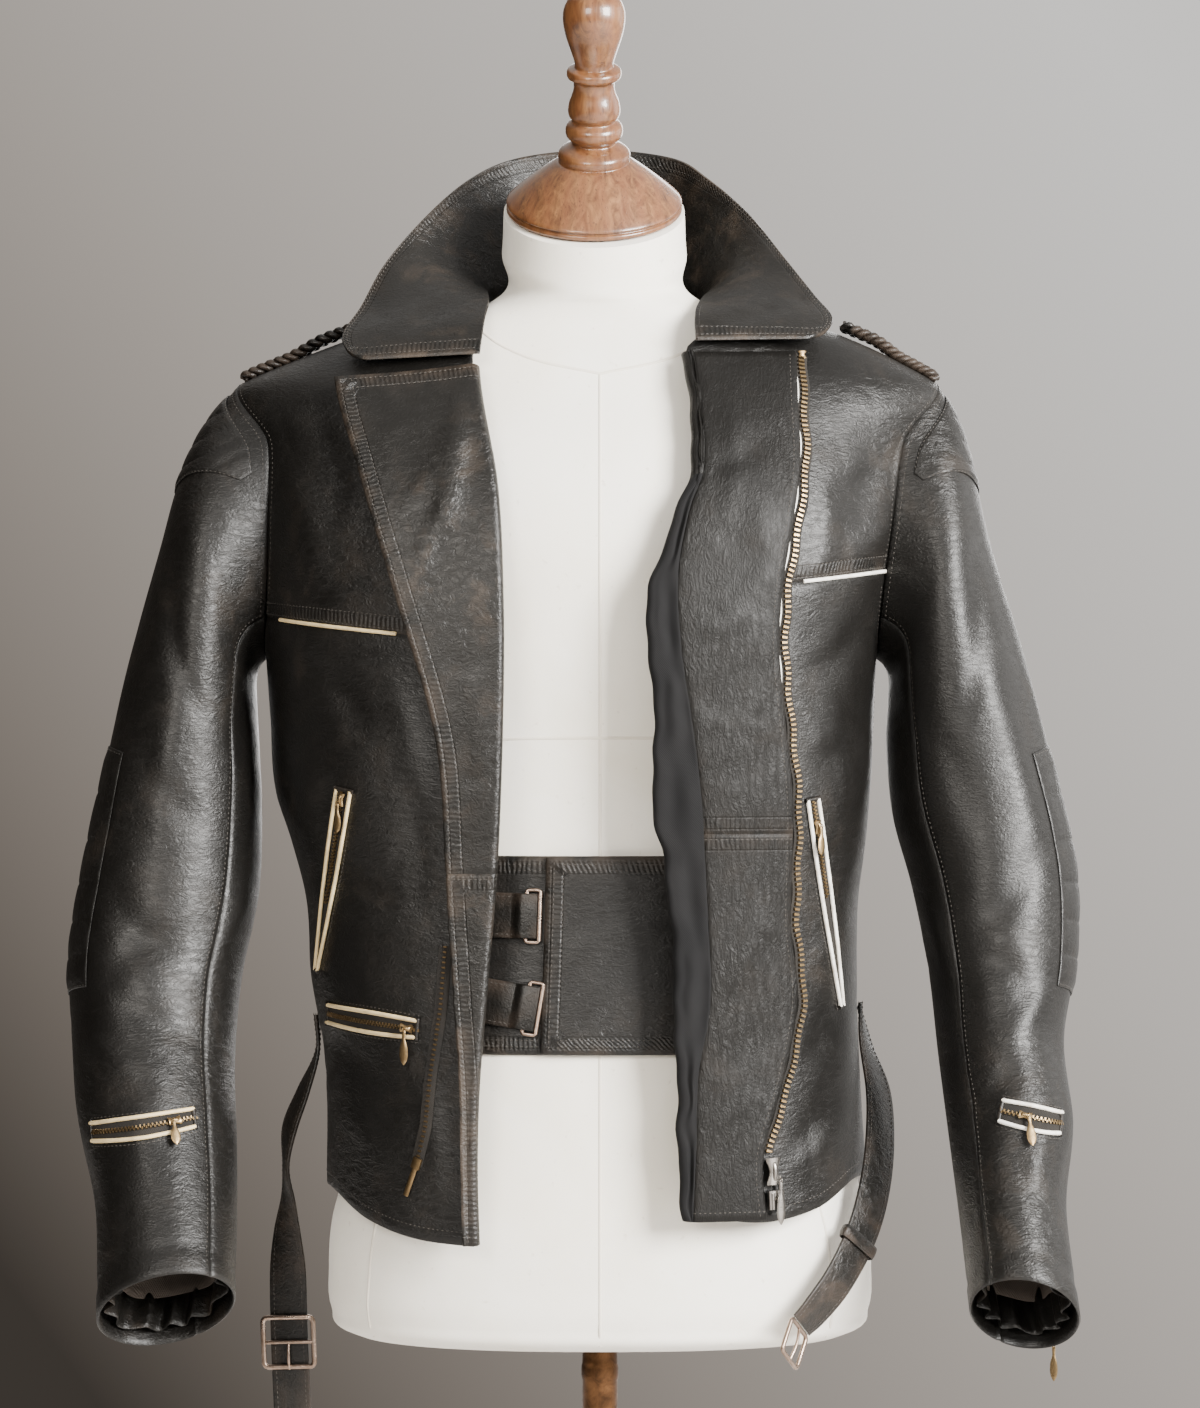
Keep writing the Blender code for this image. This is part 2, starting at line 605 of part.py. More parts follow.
def make_back():
    rows = row_heights()
    along = np.linspace(0, 1, BACK_COLUMNS)
    z = np.broadcast_to(rows[:, None], (len(rows), BACK_COLUMNS)).copy()
    start = side_turn(1, -1, rows)[:, None]
    end = side_turn(-1, -1, rows)[:, None] + 2 * math.pi
    turn = start + (end - start) * along[None, :]
    top = np.sin(math.pi * along)
    z[-1] += BACK_NECK_RISE * top
    z[-2] += BACK_NECK_RISE * 0.45 * top
    points = body_point(turn, z)
    return make_panel("back", points, surface_normal(body_point, turn, z), LEATHER, "black_leather")


# Facings turned back over the fronts: a flat part, a fold round the front's edge and a return inside
def turned_section(side, z, free_x, fold_x, radius, flat_steps, return_length, spring, rise=0.0):
    middle_offset = -LEATHER / 2
    level = z
    climb = rise * np.linspace(0, 1, len(z))**4
    rows = []
    for share in np.linspace(0, 1, flat_steps + 1):
        z = level + climb * share
        roll_x = fold_x + side * radius
        x = free_x + (roll_x - free_x) * share
        lift = TURN_GAP + FACING + spring * (1 - share)**2
        lift = (lift + CHEST_SPRING * np.clip((z - 1.22) / 0.1, 0, 1))[:, None]
        turn = turn_at_x(x, z)
        rows.append(body_point(turn, z) + surface_normal(body_point, turn, z) * lift)
    turn = turn_at_x(roll_x, z)
    base = body_point(turn, z)
    out = surface_normal(body_point, turn, z)
    inward = unit(np.cross(out, np.array([0.0, 0.0, 1.0]))) * -side
    inward = np.where((inward[:, :1] * -side) > 0, inward, -inward)
    centre = base + out * middle_offset
    for angle in np.radians((45.0, 90.0, 135.0, 180.0)):
        rows.append(centre + (out * math.cos(angle) + inward * math.sin(angle)) * radius)
    for share in (0.5, 1.0):
        turn = turn_at_x(roll_x + side * return_length * share, z)
        rows.append(body_point(turn, z) - surface_normal(body_point, turn, z) * (radius - middle_offset + 0.0004))
    return np.stack(rows, axis=1)


def grid_normals(points):
    along = np.gradient(points, axis=1)
    up = np.gradient(points, axis=0)
    return unit(np.cross(along, up))


FOLD_RADIUS = LEATHER / 2 + TURN_GAP + FACING
FACING_SPRING = 0.0022      # how far a facing's free edge stands off
CHEST_SPRING = 0.0010       # and the whole of it over the curve of the chest


def outward(points, normals):
    towards_viewer = normals[:, :1, 1].mean()
    return normals if towards_viewer < 0 else -normals


# A facing's rows are those of the front under it
def facing_heights(side, low, high):
    rows = row_heights()
    yoke_row = len(LOWER_ROWS) + YOKE_ANGLES_FROM_ARMPIT[side]
    heights = front_heights(side, rows, np.array([0.0]), yoke_row)[:, 0]
    inside = heights[(heights > low + 0.006) & (heights < high - 0.006)]
    return np.concatenate([[low], inside, [high]])


def make_right_facing(name, low, high, top_rise):
    z = facing_heights(-1, low, high)
    free = smooth(RIGHT_EDGE["z"], RIGHT_EDGE["free"], z)
    fold = smooth(RIGHT_EDGE["z"], RIGHT_EDGE["fold"], z)
    points = turned_section(-1, z, free, fold, FOLD_RADIUS, 4, 0.016, FACING_SPRING, top_rise)
    normals = outward(points, grid_normals(points))
    wall(name, points, points - normals * FACING, "black_leather")
    return {"points": points, "normals": normals}


def make_left_facing(name, low, high):
    z = facing_heights(1, low, high)
    free = smooth(LEFT_EDGE["z"], LEFT_EDGE["free"], z)
    seam = smooth(LEFT_EDGE["z"], LEFT_EDGE["seam"], z) + SEAM / 2
    columns = []
    for share in np.linspace(0, 1, 5):
        x = free + (seam - free) * share
        turn = turn_at_x(x, z)
        lift = TURN_GAP + FACING + FACING_SPRING * (1 - share)**2
        columns.append(body_point(turn, z) + surface_normal(body_point, turn, z) * lift)
    points = np.stack(columns, axis=1)
    normals = outward(points, grid_normals(points))
    wall(name, points, points - normals * FACING, "black_leather")
    return {"points": points, "normals": normals}


def make_lining_strip():
    z = np.concatenate([facing_heights(1, LEFT_FACING_LOW, LEFT_WAIST_SEAM),
                        facing_heights(1, LEFT_WAIST_SEAM, LEFT_FACING_TOP)[1:]])
    seam = smooth(LEFT_EDGE["z"], LEFT_EDGE["seam"], z) - SEAM / 2
    fold = smooth(LEFT_EDGE["z"], LEFT_EDGE["fold"], z)
    points = turned_section(1, z, seam, fold, FOLD_RADIUS, 2, 0.020, 0.0)
    normals = outward(points, grid_normals(points))
    wall("lining_strip_left", points, points - normals * LINING, "black_lining")


# The collar, turned up: a band that flares from the neckline, soft in the middle
def make_collar():
    count = 29
    across = np.linspace(0, 1, 6)
    at = np.linspace(0, 14, count)
    c = columns_at(COLLAR, "row", at)
    neck = np.stack([c["neck_x"], c["neck_y"], c["neck_z"]], axis=1)
    edge = np.stack([c["edge_x"], c["edge_y"], c["edge_z"]], axis=1)
    points = neck[None] + (edge - neck)[None] * across[:, None, None]
    swell = 0.006 * np.sin(math.pi * across)[:, None] * np.sin(math.pi * at / 14)[None, :]
    points[..., 2] += 0.6 * swell
    points[..., 1] += swell * np.cos(math.pi * (at / 7 - 1))[None, :]
    normals = grid_normals(points)
    middle = normals[2, count // 2]
    normals = normals if middle[1] < 0 else -normals
    wall("collar", points, points - normals * COLLAR_WALL, "black_leather")


# Sleeves: rings between the silhouettes, starting on the armhole's edge
def sleeve_ring(rows, angle, row):
    s = columns_at(rows, "row", row)
    cosine, sine = np.cos(angle), np.sin(angle)
    tilt = np.radians(s["tilt"])
    x = (s["outer_x"] + s["inner_x"]) / 2 + (s["outer_x"] - s["inner_x"]) / 2 * cosine
    z = ((s["outer_z"] + s["inner_z"]) / 2 + (s["outer_z"] - s["inner_z"]) / 2 * cosine
         + s["depth"] * np.sin(tilt) * sine)
    y = s["y"] - s["depth"] * np.cos(tilt) * sine
    return np.stack(np.broadcast_arrays(x, y, z), axis=-1)


def sleeve_point(side, angle, row):
    rows = LEFT_SLEEVE if side > 0 else RIGHT_SLEEVE
    ring = sleeve_ring(rows, angle, row)
    start = armhole_point(side, angle) - sleeve_ring(rows, angle, np.zeros_like(row))
    fade = (np.clip(1 - row / 1.8, 0, 1)**2)[..., None]
    shift = np.array([side * ARMHOLE_GAP, 0.0, 0.0])
    return ring + start * fade + shift


def sleeve_normal(side, angle, row):
    turn_step, row_step = 0.02, 0.02
    across = sleeve_point(side, angle + turn_step, row) - sleeve_point(side, angle - turn_step, row)
    low = np.maximum(row - row_step, 0)
    down = sleeve_point(side, angle, row + row_step) - sleeve_point(side, angle, low)
    own = unit(np.cross(down, across)) * -side
    start = armhole_point(side, angle)
    on_body = surface_normal(body_point, turn_at_y(side, start[..., 1], start[..., 2]), start[..., 2])
    shared = ((0.5 + 0.5 * np.cos(angle)) * np.clip(1 - row / 0.5, 0, 1))[..., None]
    return unit(own * (1 - shared) + on_body * shared)


FRONT_SEAM_COLUMN = 6
BACK_SEAM_COLUMN = -5


def sleeve_piece(side, first, last, name):
    step = 2 * math.pi / SLEEVE_COLUMNS
    angles = np.arange(first, last + 1) * step
    angles[0] += SEAM / 2 / 0.06
    angles[-1] -= SEAM / 2 / 0.06
    rows = np.array(SLEEVE_ROWS, dtype=float)
    grid_rows, grid_angles = np.meshgrid(rows, angles, indexing="ij")
    points = sleeve_point(side, grid_angles, grid_rows)
    normals = sleeve_normal(side, grid_angles, grid_rows)
    piece = make_panel(name, points, normals, LEATHER, "black_leather")
    piece["angles"] = angles
    return piece


def make_sleeve(side, word):
    upper = sleeve_piece(side, BACK_SEAM_COLUMN, FRONT_SEAM_COLUMN, f"sleeve_{word}_upper")
    sleeve_piece(side, FRONT_SEAM_COLUMN, BACK_SEAM_COLUMN + SLEEVE_COLUMNS, f"sleeve_{word}_under")
    return upper


# The gathered leather inside each cuff
def make_inner_cuff(side, word):
    angles = np.linspace(0, 2 * math.pi, SLEEVE_COLUMNS, endpoint=False)
    rows = np.array((10.0, 10.5, 10.85))
    grid_rows, grid_angles = np.meshgrid(rows, angles, indexing="ij")
    points = sleeve_point(side, grid_angles, grid_rows)
    normals = sleeve_normal(side, grid_angles, grid_rows)
    gather = np.where(np.arange(SLEEVE_COLUMNS) % 2 == 0, 0.0, 0.0034)
    drop = (LEATHER + REST + np.array([0.0, 0.0012, 0.0022])[:, None]
            + gather[None, :] * np.array([0.0, 0.7, 1.0])[:, None])
    outer = points - normals * drop[..., None]
    wall(f"cuff_{word}_inner", outer, outer - normals * 0.0014, "black_leather", closed=True)


# Padded and ribbed pieces stitched on a sleeve's upper panel, ribs running round the sleeve
def make_ribbed_pad(panel, name, row_ends, column_ends, ribs, height):
    ribbed = np.linspace(*row_ends, ribs * 2 + 1)
    whole = np.arange(math.ceil(row_ends[0]), math.floor(row_ends[1]) + 1)
    apart = [row for row in ribbed if np.abs(whole - row).min() > 0.09 or row in row_ends]
    rows = np.array(sorted(set(apart) | {float(row) for row in whole}))
    columns = np.arange(column_ends[0], column_ends[1] + 1).astype(float)
    grid_rows, grid_columns = np.meshgrid(rows, columns, indexing="ij")
    points = between(panel["points"], grid_rows, grid_columns)
    normals = unit(between(panel["normals"], grid_rows, grid_columns))
    raised = 0.0012 + height * np.interp(rows, ribbed, np.arange(len(ribbed)) % 2)
    outer = points + normals * (PAD_LIFT + raised)[:, None, None]
    wall(name, outer, points + normals * PAD_LIFT, "black_leather")


# A zip on a panel: tape and teeth as one strip, with the slider as a block on it
def make_zip(name, panel, ends, width, slider):
    (x0, z0), (x1, z1) = ends
    half = SLIDER_LENGTH / 2 / math.hypot(x1 - x0, z1 - z0)
    ramp = half * 0.15
    stops = np.concatenate([np.linspace(0, 1, 5), slider + half * np.array([-1, 1]),
                            slider + (half - ramp) * np.array([-1, 1])])
    stops = np.unique(stops[(stops >= 0) & (stops <= 1)])
    middle, normals, shares = line_on(panel, ends, stops)
    block = np.clip((half - np.abs(shares - slider)) / ramp, 0, 1)
    strip(name, middle, normals, width, LAID, LAID + 0.0016 + (SLIDER_HEIGHT - 0.0016) * block, "brass")
    middle, normals, _ = line_on(panel, ends, np.array([slider, slider + 0.01]))
    return middle[0], normals[0]


# Piping round a zip's opening, as a loop on the panel
def make_piping(name, panel, ends, spread):
    (x0, z0), (x1, z1) = ends
    length = math.hypot(x1 - x0, z1 - z0)
    ax, az = (x1 - x0) / length, (z1 - z0) / length
    past = PIPING_PAST / length
    spots = []
    for way in (1, -1):
        for share in np.linspace(0, 1, 6)[::way]:
            bow = (spread + PIPING_BOW * math.sin(math.pi * share)) * way
            at = -past + (1 + 2 * past) * share
            spots.append((x0 + (x1 - x0) * at - az * bow, z0 + (z1 - z0) * at + ax * bow))
    spots.append(spots[0])
    points, normals, _ = path_on(panel, spots)
    lift = LAID + PIPING_RADIUS
    wire(name, points[:-1] + normals[:-1] * lift, PIPING_RADIUS, "cream_piping", cyclic=True)


# A leaf shaped pull tab hanging on its hinge axis
PULL_OUTLINE = ((-0.0012, 0.0), (0.0012, 0.0), (0.0014, -0.30), (0.0030, -0.62), (0.0026, -0.86),
                (0.0, -1.0), (-0.0026, -0.86), (-0.0030, -0.62), (-0.0014, -0.30))
PULL_WALL = 0.0010


def make_pull(name, spot, normal, length, down, look="brass"):
    out = Vector(normal).normalized()
    down = Vector(down).normalized()
    out = (out - down * out.dot(down)).normalized()
    side = down.cross(out)
    curve = bpy.data.curves.new(name, "CURVE")
    curve.dimensions = "2D"
    curve.fill_mode = "BOTH"
    curve.extrude = PULL_WALL / 2
    spline = curve.splines.new("POLY")
    spline.points.add(len(PULL_OUTLINE) - 1)
    for knot, (x, share) in zip(spline.points, PULL_OUTLINE):
        knot.co = (x, share * length, 0.0, 1.0)
    spline.use_cyclic_u = True
    pull = add_object(name, curve, look)
    turn = Matrix((side, -down, side.cross(-down))).transposed().to_4x4()
    pull.matrix_world = Matrix.Translation(Vector(spot)) @ turn
    return pull


# The zips: ends in x and z, the slider's place along them, and the pull's length
ZIPS = (
    ("pocket_right_slant", "front_right", ((-0.169, 1.112), (-0.190, 0.990)), 0.06, 0.020),
    ("pocket_left_slant", "front_left", ((0.1400, 1.106), (0.1610, 0.967)), 0.12, 0.020),
    ("pocket_right_hip", "front_right", ((-0.182, 0.9615), (-0.120, 0.9555)), 0.90, 0.024),
    ("forearm_right", "sleeve_right", ((-0.333, 0.888), (-0.266, 0.898)), 0.80, 0.018),
    ("forearm_left", "sleeve_left", ((0.262, 0.903), (0.301, 0.8945)), 0.42, 0.022))


def make_zips(panels):
    for name, where, ends, slider, length in ZIPS:
        panel = panels[where]
        spot, normal = make_zip(f"{name}_zip", panel, ends, ZIP_WIDTH, slider)
        make_piping(f"{name}_piping", panel, ends, ZIP_WIDTH / 2 + SEAM + PIPING_RADIUS)
        spot = spot + normal * (LAID + SLIDER_HEIGHT + 0.0004 + PULL_WALL / 2)
        down = np.array([0.0, 0.0, -1.0])
        if where.startswith("sleeve"):
            down = down - normal * down.dot(normal)
        make_pull(f"{name}_pull", spot, normal, length, down)


# The main zip: on the left facing's free edge with its box and slider, on the right front under the lapel
def on_body(x, z):
    turn = turn_at_x(x, z)
    return body_point(turn, z), surface_normal(body_point, turn, z)


def make_main_zip(right_lower):
    facing = np.concatenate([facing_heights(1, LEFT_FACING_LOW, LEFT_WAIST_SEAM),
                             facing_heights(1, LEFT_WAIST_SEAM, LEFT_FACING_TOP)[1:]])
    free = smooth(LEFT_EDGE["z"], LEFT_EDGE["free"], facing)
    z = np.concatenate([[ZIP_BOX_TOP + 0.0009], facing[facing > ZIP_BOX_TOP + 0.006]])
    middle, normals = on_body(np.interp(z, facing, free) + MAIN_ZIP_WIDTH / 2 + 0.0010, z)
    strip("main_zip_left", middle, normals, MAIN_ZIP_WIDTH, 0.0030, 0.0052, "brass")
    z = np.array([ZIP_BOX_LOW, ZIP_BOX_TOP - 0.016, ZIP_BOX_TOP])
    middle, normals = on_body(np.interp(z, facing, free) + 0.0076, z)
    top = 0.0085
    strip("main_zip_slider", middle, normals, 0.0120, 0.0030, top, "brass")
    spot = middle[1] + normals[1] * (top + 0.0004 + PULL_WALL / 2)
    make_pull("main_zip_pull", spot, normals[1], 0.030, (0.0, 0.0, -1.0))
    spots = ((-0.1010, 1.010), (-0.1040, 0.970), (-0.1110, 0.924), (-0.1140, 0.892), (-0.1195, 0.868),
             (-0.1203, 0.866), (-0.1270, 0.846))
    middle, normals, at = path_on(right_lower, spots)
    pin = at > len(spots) - 2.6
    strip("main_zip_right", middle, normals, np.where(pin, 0.0045, 0.0070), LAID,
          LAID + np.where(pin, 0.0028, 0.0022), "brass")


# The zip down the back of a cuff, with its slider at the cuff's edge
def make_cuff_zip(sleeve, name):
    rows = np.array((13.3, 13.6, 14.0, 14.4, 14.80, 14.82, 14.96))
    columns = np.full(len(rows), 2.5)
    middle = between(sleeve["points"], rows, columns)
    normals = unit(between(sleeve["normals"], rows, columns))
    height = np.where(rows > 14.81, SLIDER_HEIGHT, 0.0016)
    strip(f"{name}_zip", middle, normals, ZIP_WIDTH, LAID, LAID + height, "brass")
    spot = middle[-1] + normals[-1] * (LAID + SLIDER_HEIGHT + 0.0004 + PULL_WALL / 2)
    make_pull(f"{name}_pull", spot, normals[-1], 0.024, (0.0, 0.0, -1.0))


# Cream piping in the yoke seam
def make_yoke_piping(side, word, front, ends):
    row = len(LOWER_ROWS) + YOKE_ANGLES_FROM_ARMPIT[side]
    points, normals = front["points"][row], front["normals"][row]
    order = np.argsort(points[:, 0])
    places = points[order, 0]
    x = np.concatenate([[ends[0]], places[(places > ends[0]) & (places < ends[1])], [ends[1]]])
    middle = np.stack([np.interp(x, places, points[order, axis]) for axis in range(3)], axis=1)
    out = np.stack([np.interp(x, places, normals[order, axis]) for axis in range(3)], axis=1)
    wire(f"yoke_{word}_piping", middle + unit(out) * (LAID + PIPING_RADIUS), PIPING_RADIUS, "cream_piping")


# A braided epaulette along the shoulder's ridge
def make_epaulette(side, word):
    bumps = 7
    count = bumps * 2 + 1
    z = np.linspace(1.3905, 1.4225, count)
    middle = body_point(np.full(count, side * math.pi / 2), z)
    along = unit(np.gradient(middle, axis=0))
    normals = unit(np.cross(along, np.array([0.0, side, 0.0])))
    normals = np.where(normals[:, 2:] > 0, normals, -normals)
    share = np.linspace(0, 1, count)
    arch = 0.0030 * np.sin(math.pi * share)
    plait = np.where(np.arange(count) % 2 == 1, 0.0016, 0.0)
    strip(f"epaulette_{word}", middle, normals, 0.0180 + 2 * plait, REST + arch,
          REST + 0.0032 + arch + plait, "black_leather")


# The kidney belt: a band round the form that overlaps itself in front, with straps and buckles
def make_kidney_belt():
    turns = -np.radians(np.concatenate([np.arange(-15.0, 361.0, 15.0), [370.0]]))
    turn, z = np.meshgrid(turns, np.array((BELT_BOTTOM, 1.000, BELT_TOP)))
    rise = np.clip((-np.degrees(turn) - 285.0) / 45.0, 0, 1)
    lift = (BELT_GAP + (BELT_WALL + REST) * rise * rise * (3 - 2 * rise))[..., None]
    base, out = form_point(turn, z), surface_normal(form_point, turn, z)
    outer = base + out * (lift + BELT_WALL)
    wall("kidney_belt", outer, base + out * lift, "black_leather")
    under_layer = {"points": outer[:, :9], "normals": out[:, :9]}
    for name, ends in (("upper", ((-0.105, 1.030), (-0.0472, 1.0285))),
                       ("lower", ((-0.105, 0.977), (-0.0472, 0.9680)))):
        middle, normals, _ = line_on(under_layer, ends, np.linspace(0, 1, 4))
        strip(f"kidney_strap_{name}", middle, normals, 0.030, REST, REST + 0.0022, "black_leather")
        along = unit(np.array(ends[1]) - np.array(ends[0]))
        across = np.array([-along[1], along[0]]) * 0.0175
        centre = np.array(ends[1]) + along * 0.0044
        middle, normals, _ = line_on(under_layer, (centre - across, centre + across), np.linspace(0, 1, 3))
        strip(f"kidney_buckle_{name}", middle, normals, 0.0062, REST, REST + 0.0034, "brass")


# The waist belt's loose ends
def belt_frame(side, rows, count):
    at = np.linspace(0, len(rows["x"]) - 1, count)
    keys = np.arange(len(rows["x"]), dtype=float)
    middle = np.stack([smooth(keys, rows[axis], at) for axis in ("x", "y", "z")], axis=1)
    turn = np.radians(smooth(keys, rows["turn"], at))
    along = unit(np.gradient(middle, axis=0))
    face = np.stack([side * np.sin(turn), -np.cos(turn), np.zeros(count)], axis=1)
    face = unit(face - along * (face * along).sum(axis=1, keepdims=True))
    return middle, along, face, np.cross(along, face)


def loop_points(centre, across, down, half_width, height):
    corners = ((-1, 0), (1, 0), (1, 1), (-1, 1))
    return [centre + across * half_width * a + down * height * b for a, b in corners]


def make_belts():
    middle, along, face, across = belt_frame(-1, RIGHT_BELT, 19)
    half = BELT_STRAP_WALL / 2
    strip("belt_right", middle, face, BELT_STRAP_WIDTH, -half, half, "black_leather")
    near = int(np.abs(middle[:, 2] - RIGHT_BUCKLE_Z).argmin())
    top = middle[near] + face[near] * (half + 0.0009 + BUCKLE_WIRE) - along[near] * 0.0170
    wire("belt_right_buckle", loop_points(top, across[near], along[near], 0.0175, 0.0340), BUCKLE_WIRE,
         "brass", cyclic=True, resolution=1)
    middle, along, face, across = belt_frame(1, LEFT_BELT, 15)
    strip("belt_left", middle, face, BELT_STRAP_WIDTH, -half, half, "black_leather")
    at = 9
    make_keeper(middle[at], along[at], face[at], across[at])
    end = middle[-1] + along[-1] * (REST + BUCKLE_WIRE)
    down = unit(np.array([0.0, 0.0, -1.0]) + across[-1] * across[-1][2])
    wire("belt_left_buckle", [point - end for point in loop_points(end, across[-1], down, 0.0130, 0.0240)],
         BUCKLE_WIRE, "brass", cyclic=True, resolution=1).location = end


def make_keeper(centre, along, face, across):
    rings = []
    for wide, thick in ((0.0142, 0.0022), (0.0160, 0.0040)):
        corners = np.array([across * wide * a + face * thick * b
                            for a, b in ((-1, -1), (1, -1), (1, 1), (-1, 1))])
        rings.append(np.stack([centre + corners - along * 0.0045, centre + corners + along * 0.0045]))
    wall("belt_keeper", rings[1], rings[0], "black_leather", closed=True)


PARTS = None
MATERIALS = {}


def main():
    global PARTS
    for old in list(bpy.data.objects):
        bpy.data.objects.remove(old, do_unlink=True)
    PARTS = bpy.data.collections.new("leather_motorcycle_jacket")
    bpy.context.scene.collection.children.link(PARTS)
    MATERIALS["black_leather"] = material("black_leather", (0.022, 0.021, 0.020), 0.42)
    MATERIALS["black_lining"] = material("black_lining", (0.016, 0.016, 0.018), 0.85)
    MATERIALS["linen_cover"] = material("linen_cover", (0.74, 0.68, 0.58), 0.90)
    MATERIALS["walnut"] = material("walnut", (0.20, 0.075, 0.030), 0.35)
    MATERIALS["bronze_pole"] = material("bronze_pole", (0.16, 0.09, 0.045), 0.35, 0.9)
    MATERIALS["black_iron"] = material("black_iron", (0.03, 0.028, 0.026), 0.5, 0.6)
    MATERIALS["cream_piping"] = material("cream_piping", (0.62, 0.52, 0.33), 0.55)
    MATERIALS["brass"] = material("brass", (0.45, 0.30, 0.14), 0.35, 1.0)
    make_form()
    make_cap()
    make_stand()
    right_front = make_front(-1, "right")
    left_front = make_front(1, "left")
    make_back()
    make_right_facing("facing_right_lower", RIGHT_FACING_LOW, RIGHT_WAIST_SEAM, 0.0)
    make_right_facing("facing_right_upper", RIGHT_WAIST_SEAM + SEAM, RIGHT_FACING_TOP, LAPEL_RISE)
    make_left_facing("facing_left_lower", LEFT_FACING_LOW, LEFT_WAIST_SEAM)
    make_left_facing("facing_left_upper", LEFT_WAIST_SEAM + SEAM, LEFT_FACING_TOP)
    make_lining_strip()
    make_collar()
    right_sleeve = make_sleeve(-1, "right")
    left_sleeve = make_sleeve(1, "left")
    for side, word, sleeve in ((-1, "right", right_sleeve), (1, "left", left_sleeve)):
        make_inner_cuff(side, word)
        make_ribbed_pad(sleeve, f"shoulder_pad_{word}", (1.0, 5.4), (2, 8), 5, 0.0022)
        make_ribbed_pad(sleeve, f"elbow_patch_{word}", (9.0, 11.4), (1, 7), 6, 0.0016)
        make_epaulette(side, word)
    make_zips({"front_right": right_front["lower"], "front_left": left_front["lower"],
               "sleeve_right": right_sleeve, "sleeve_left": left_sleeve})
    make_main_zip(right_front["lower"])
    make_cuff_zip(left_sleeve, "cuff_left")
    make_yoke_piping(-1, "right", right_front, (-0.2150, -0.1330))
    make_yoke_piping(1, "left", left_front, (0.1320, 0.1940))
    make_kidney_belt()
    make_belts()


main()
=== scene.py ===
import json
import math

import bmesh
import bpy
import numpy as np
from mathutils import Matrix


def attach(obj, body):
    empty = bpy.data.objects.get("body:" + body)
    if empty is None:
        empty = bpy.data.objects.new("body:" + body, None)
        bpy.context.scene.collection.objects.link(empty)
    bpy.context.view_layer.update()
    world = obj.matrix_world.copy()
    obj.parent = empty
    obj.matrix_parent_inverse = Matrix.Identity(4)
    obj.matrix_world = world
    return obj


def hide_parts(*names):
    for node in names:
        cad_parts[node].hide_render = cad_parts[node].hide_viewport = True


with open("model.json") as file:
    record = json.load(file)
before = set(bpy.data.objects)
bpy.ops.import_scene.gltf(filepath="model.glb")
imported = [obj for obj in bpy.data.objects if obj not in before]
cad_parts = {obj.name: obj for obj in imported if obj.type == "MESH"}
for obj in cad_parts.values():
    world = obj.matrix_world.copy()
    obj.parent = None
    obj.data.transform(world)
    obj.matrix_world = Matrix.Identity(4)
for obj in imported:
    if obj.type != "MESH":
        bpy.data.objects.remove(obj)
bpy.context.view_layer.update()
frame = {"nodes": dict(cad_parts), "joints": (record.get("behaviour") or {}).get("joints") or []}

root = "jacket_on_form"
print("frame loaded:", len(frame["nodes"]), "nodes")


# Tables and curves. A table is named columns, one row a section; a curve runs smoothly through its rows
def rowTable(columns, *rows):
    return dict(zip(columns.split(), np.array(rows, dtype=float).T))


def through(keys, values, at):  # cubic pieces whose slopes are the neighbours' mean slope
    at = np.clip(np.asarray(at, dtype=float), keys[0], keys[-1])
    slopes = np.gradient(values, keys)
    low = np.clip(np.searchsorted(keys, at) - 1, 0, len(keys) - 2)
    span = keys[low + 1] - keys[low]
    t = (at - keys[low]) / span
    return ((2 * t**3 - 3 * t**2 + 1) * values[low] + (t**3 - 2 * t**2 + t) * span * slopes[low]
            + (3 * t**2 - 2 * t**3) * values[low + 1] + (t**3 - t**2) * span * slopes[low + 1])


def columnsAt(rows, key, at):
    return {name: through(rows[key], values, at) for name, values in rows.items() if name != key}


def unit(v):
    return v / np.maximum(np.linalg.norm(v, axis=-1, keepdims=True), 1e-12)


def ease(t):  # 0 to 1 with level ends
    t = np.clip(t, 0, 1)
    return t * t * (3 - 2 * t)


# The cut of the jacket: level sections of the body and of the form under it, the front edges, hem and sleeves
body = rowTable(
    "z      left   right  front  back   power",
    (0.800, 0.182, 0.186, 0.150, 0.133, 2.5),
    (0.850, 0.182, 0.187, 0.150, 0.130, 2.5),
    (0.900, 0.179, 0.187, 0.149, 0.1225, 2.5),
    (0.938, 0.177, 0.190, 0.148, 0.1168, 2.5),
    (0.985, 0.176, 0.198, 0.147, 0.1140, 2.5),
    (1.037, 0.177, 0.201, 0.146, 0.1130, 2.5),
    (1.075, 0.182, 0.211, 0.146, 0.1150, 2.5),
    (1.110, 0.185, 0.222, 0.147, 0.1190, 2.5),
    (1.160, 0.188, 0.226, 0.148, 0.126, 2.4),
    (1.215, 0.191, 0.230, 0.147, 0.134, 2.4),
    (1.260, 0.201, 0.234, 0.143, 0.139, 2.4),
    (1.300, 0.212, 0.239, 0.135, 0.139, 2.3),
    (1.345, 0.223, 0.244, 0.117, 0.128, 2.1),
    (1.389, 0.231, 0.246, 0.090, 0.104, 2.0),
    (1.403, 0.207, 0.214, 0.082, 0.094, 2.0),
    (1.417, 0.178, 0.178, 0.077, 0.086, 2.0),
    (1.431, 0.140, 0.138, 0.073, 0.080, 2.0),
    (1.445, 0.084, 0.088, 0.070, 0.077, 2.0),
    (1.466, 0.070, 0.072, 0.066, 0.076, 2.0))
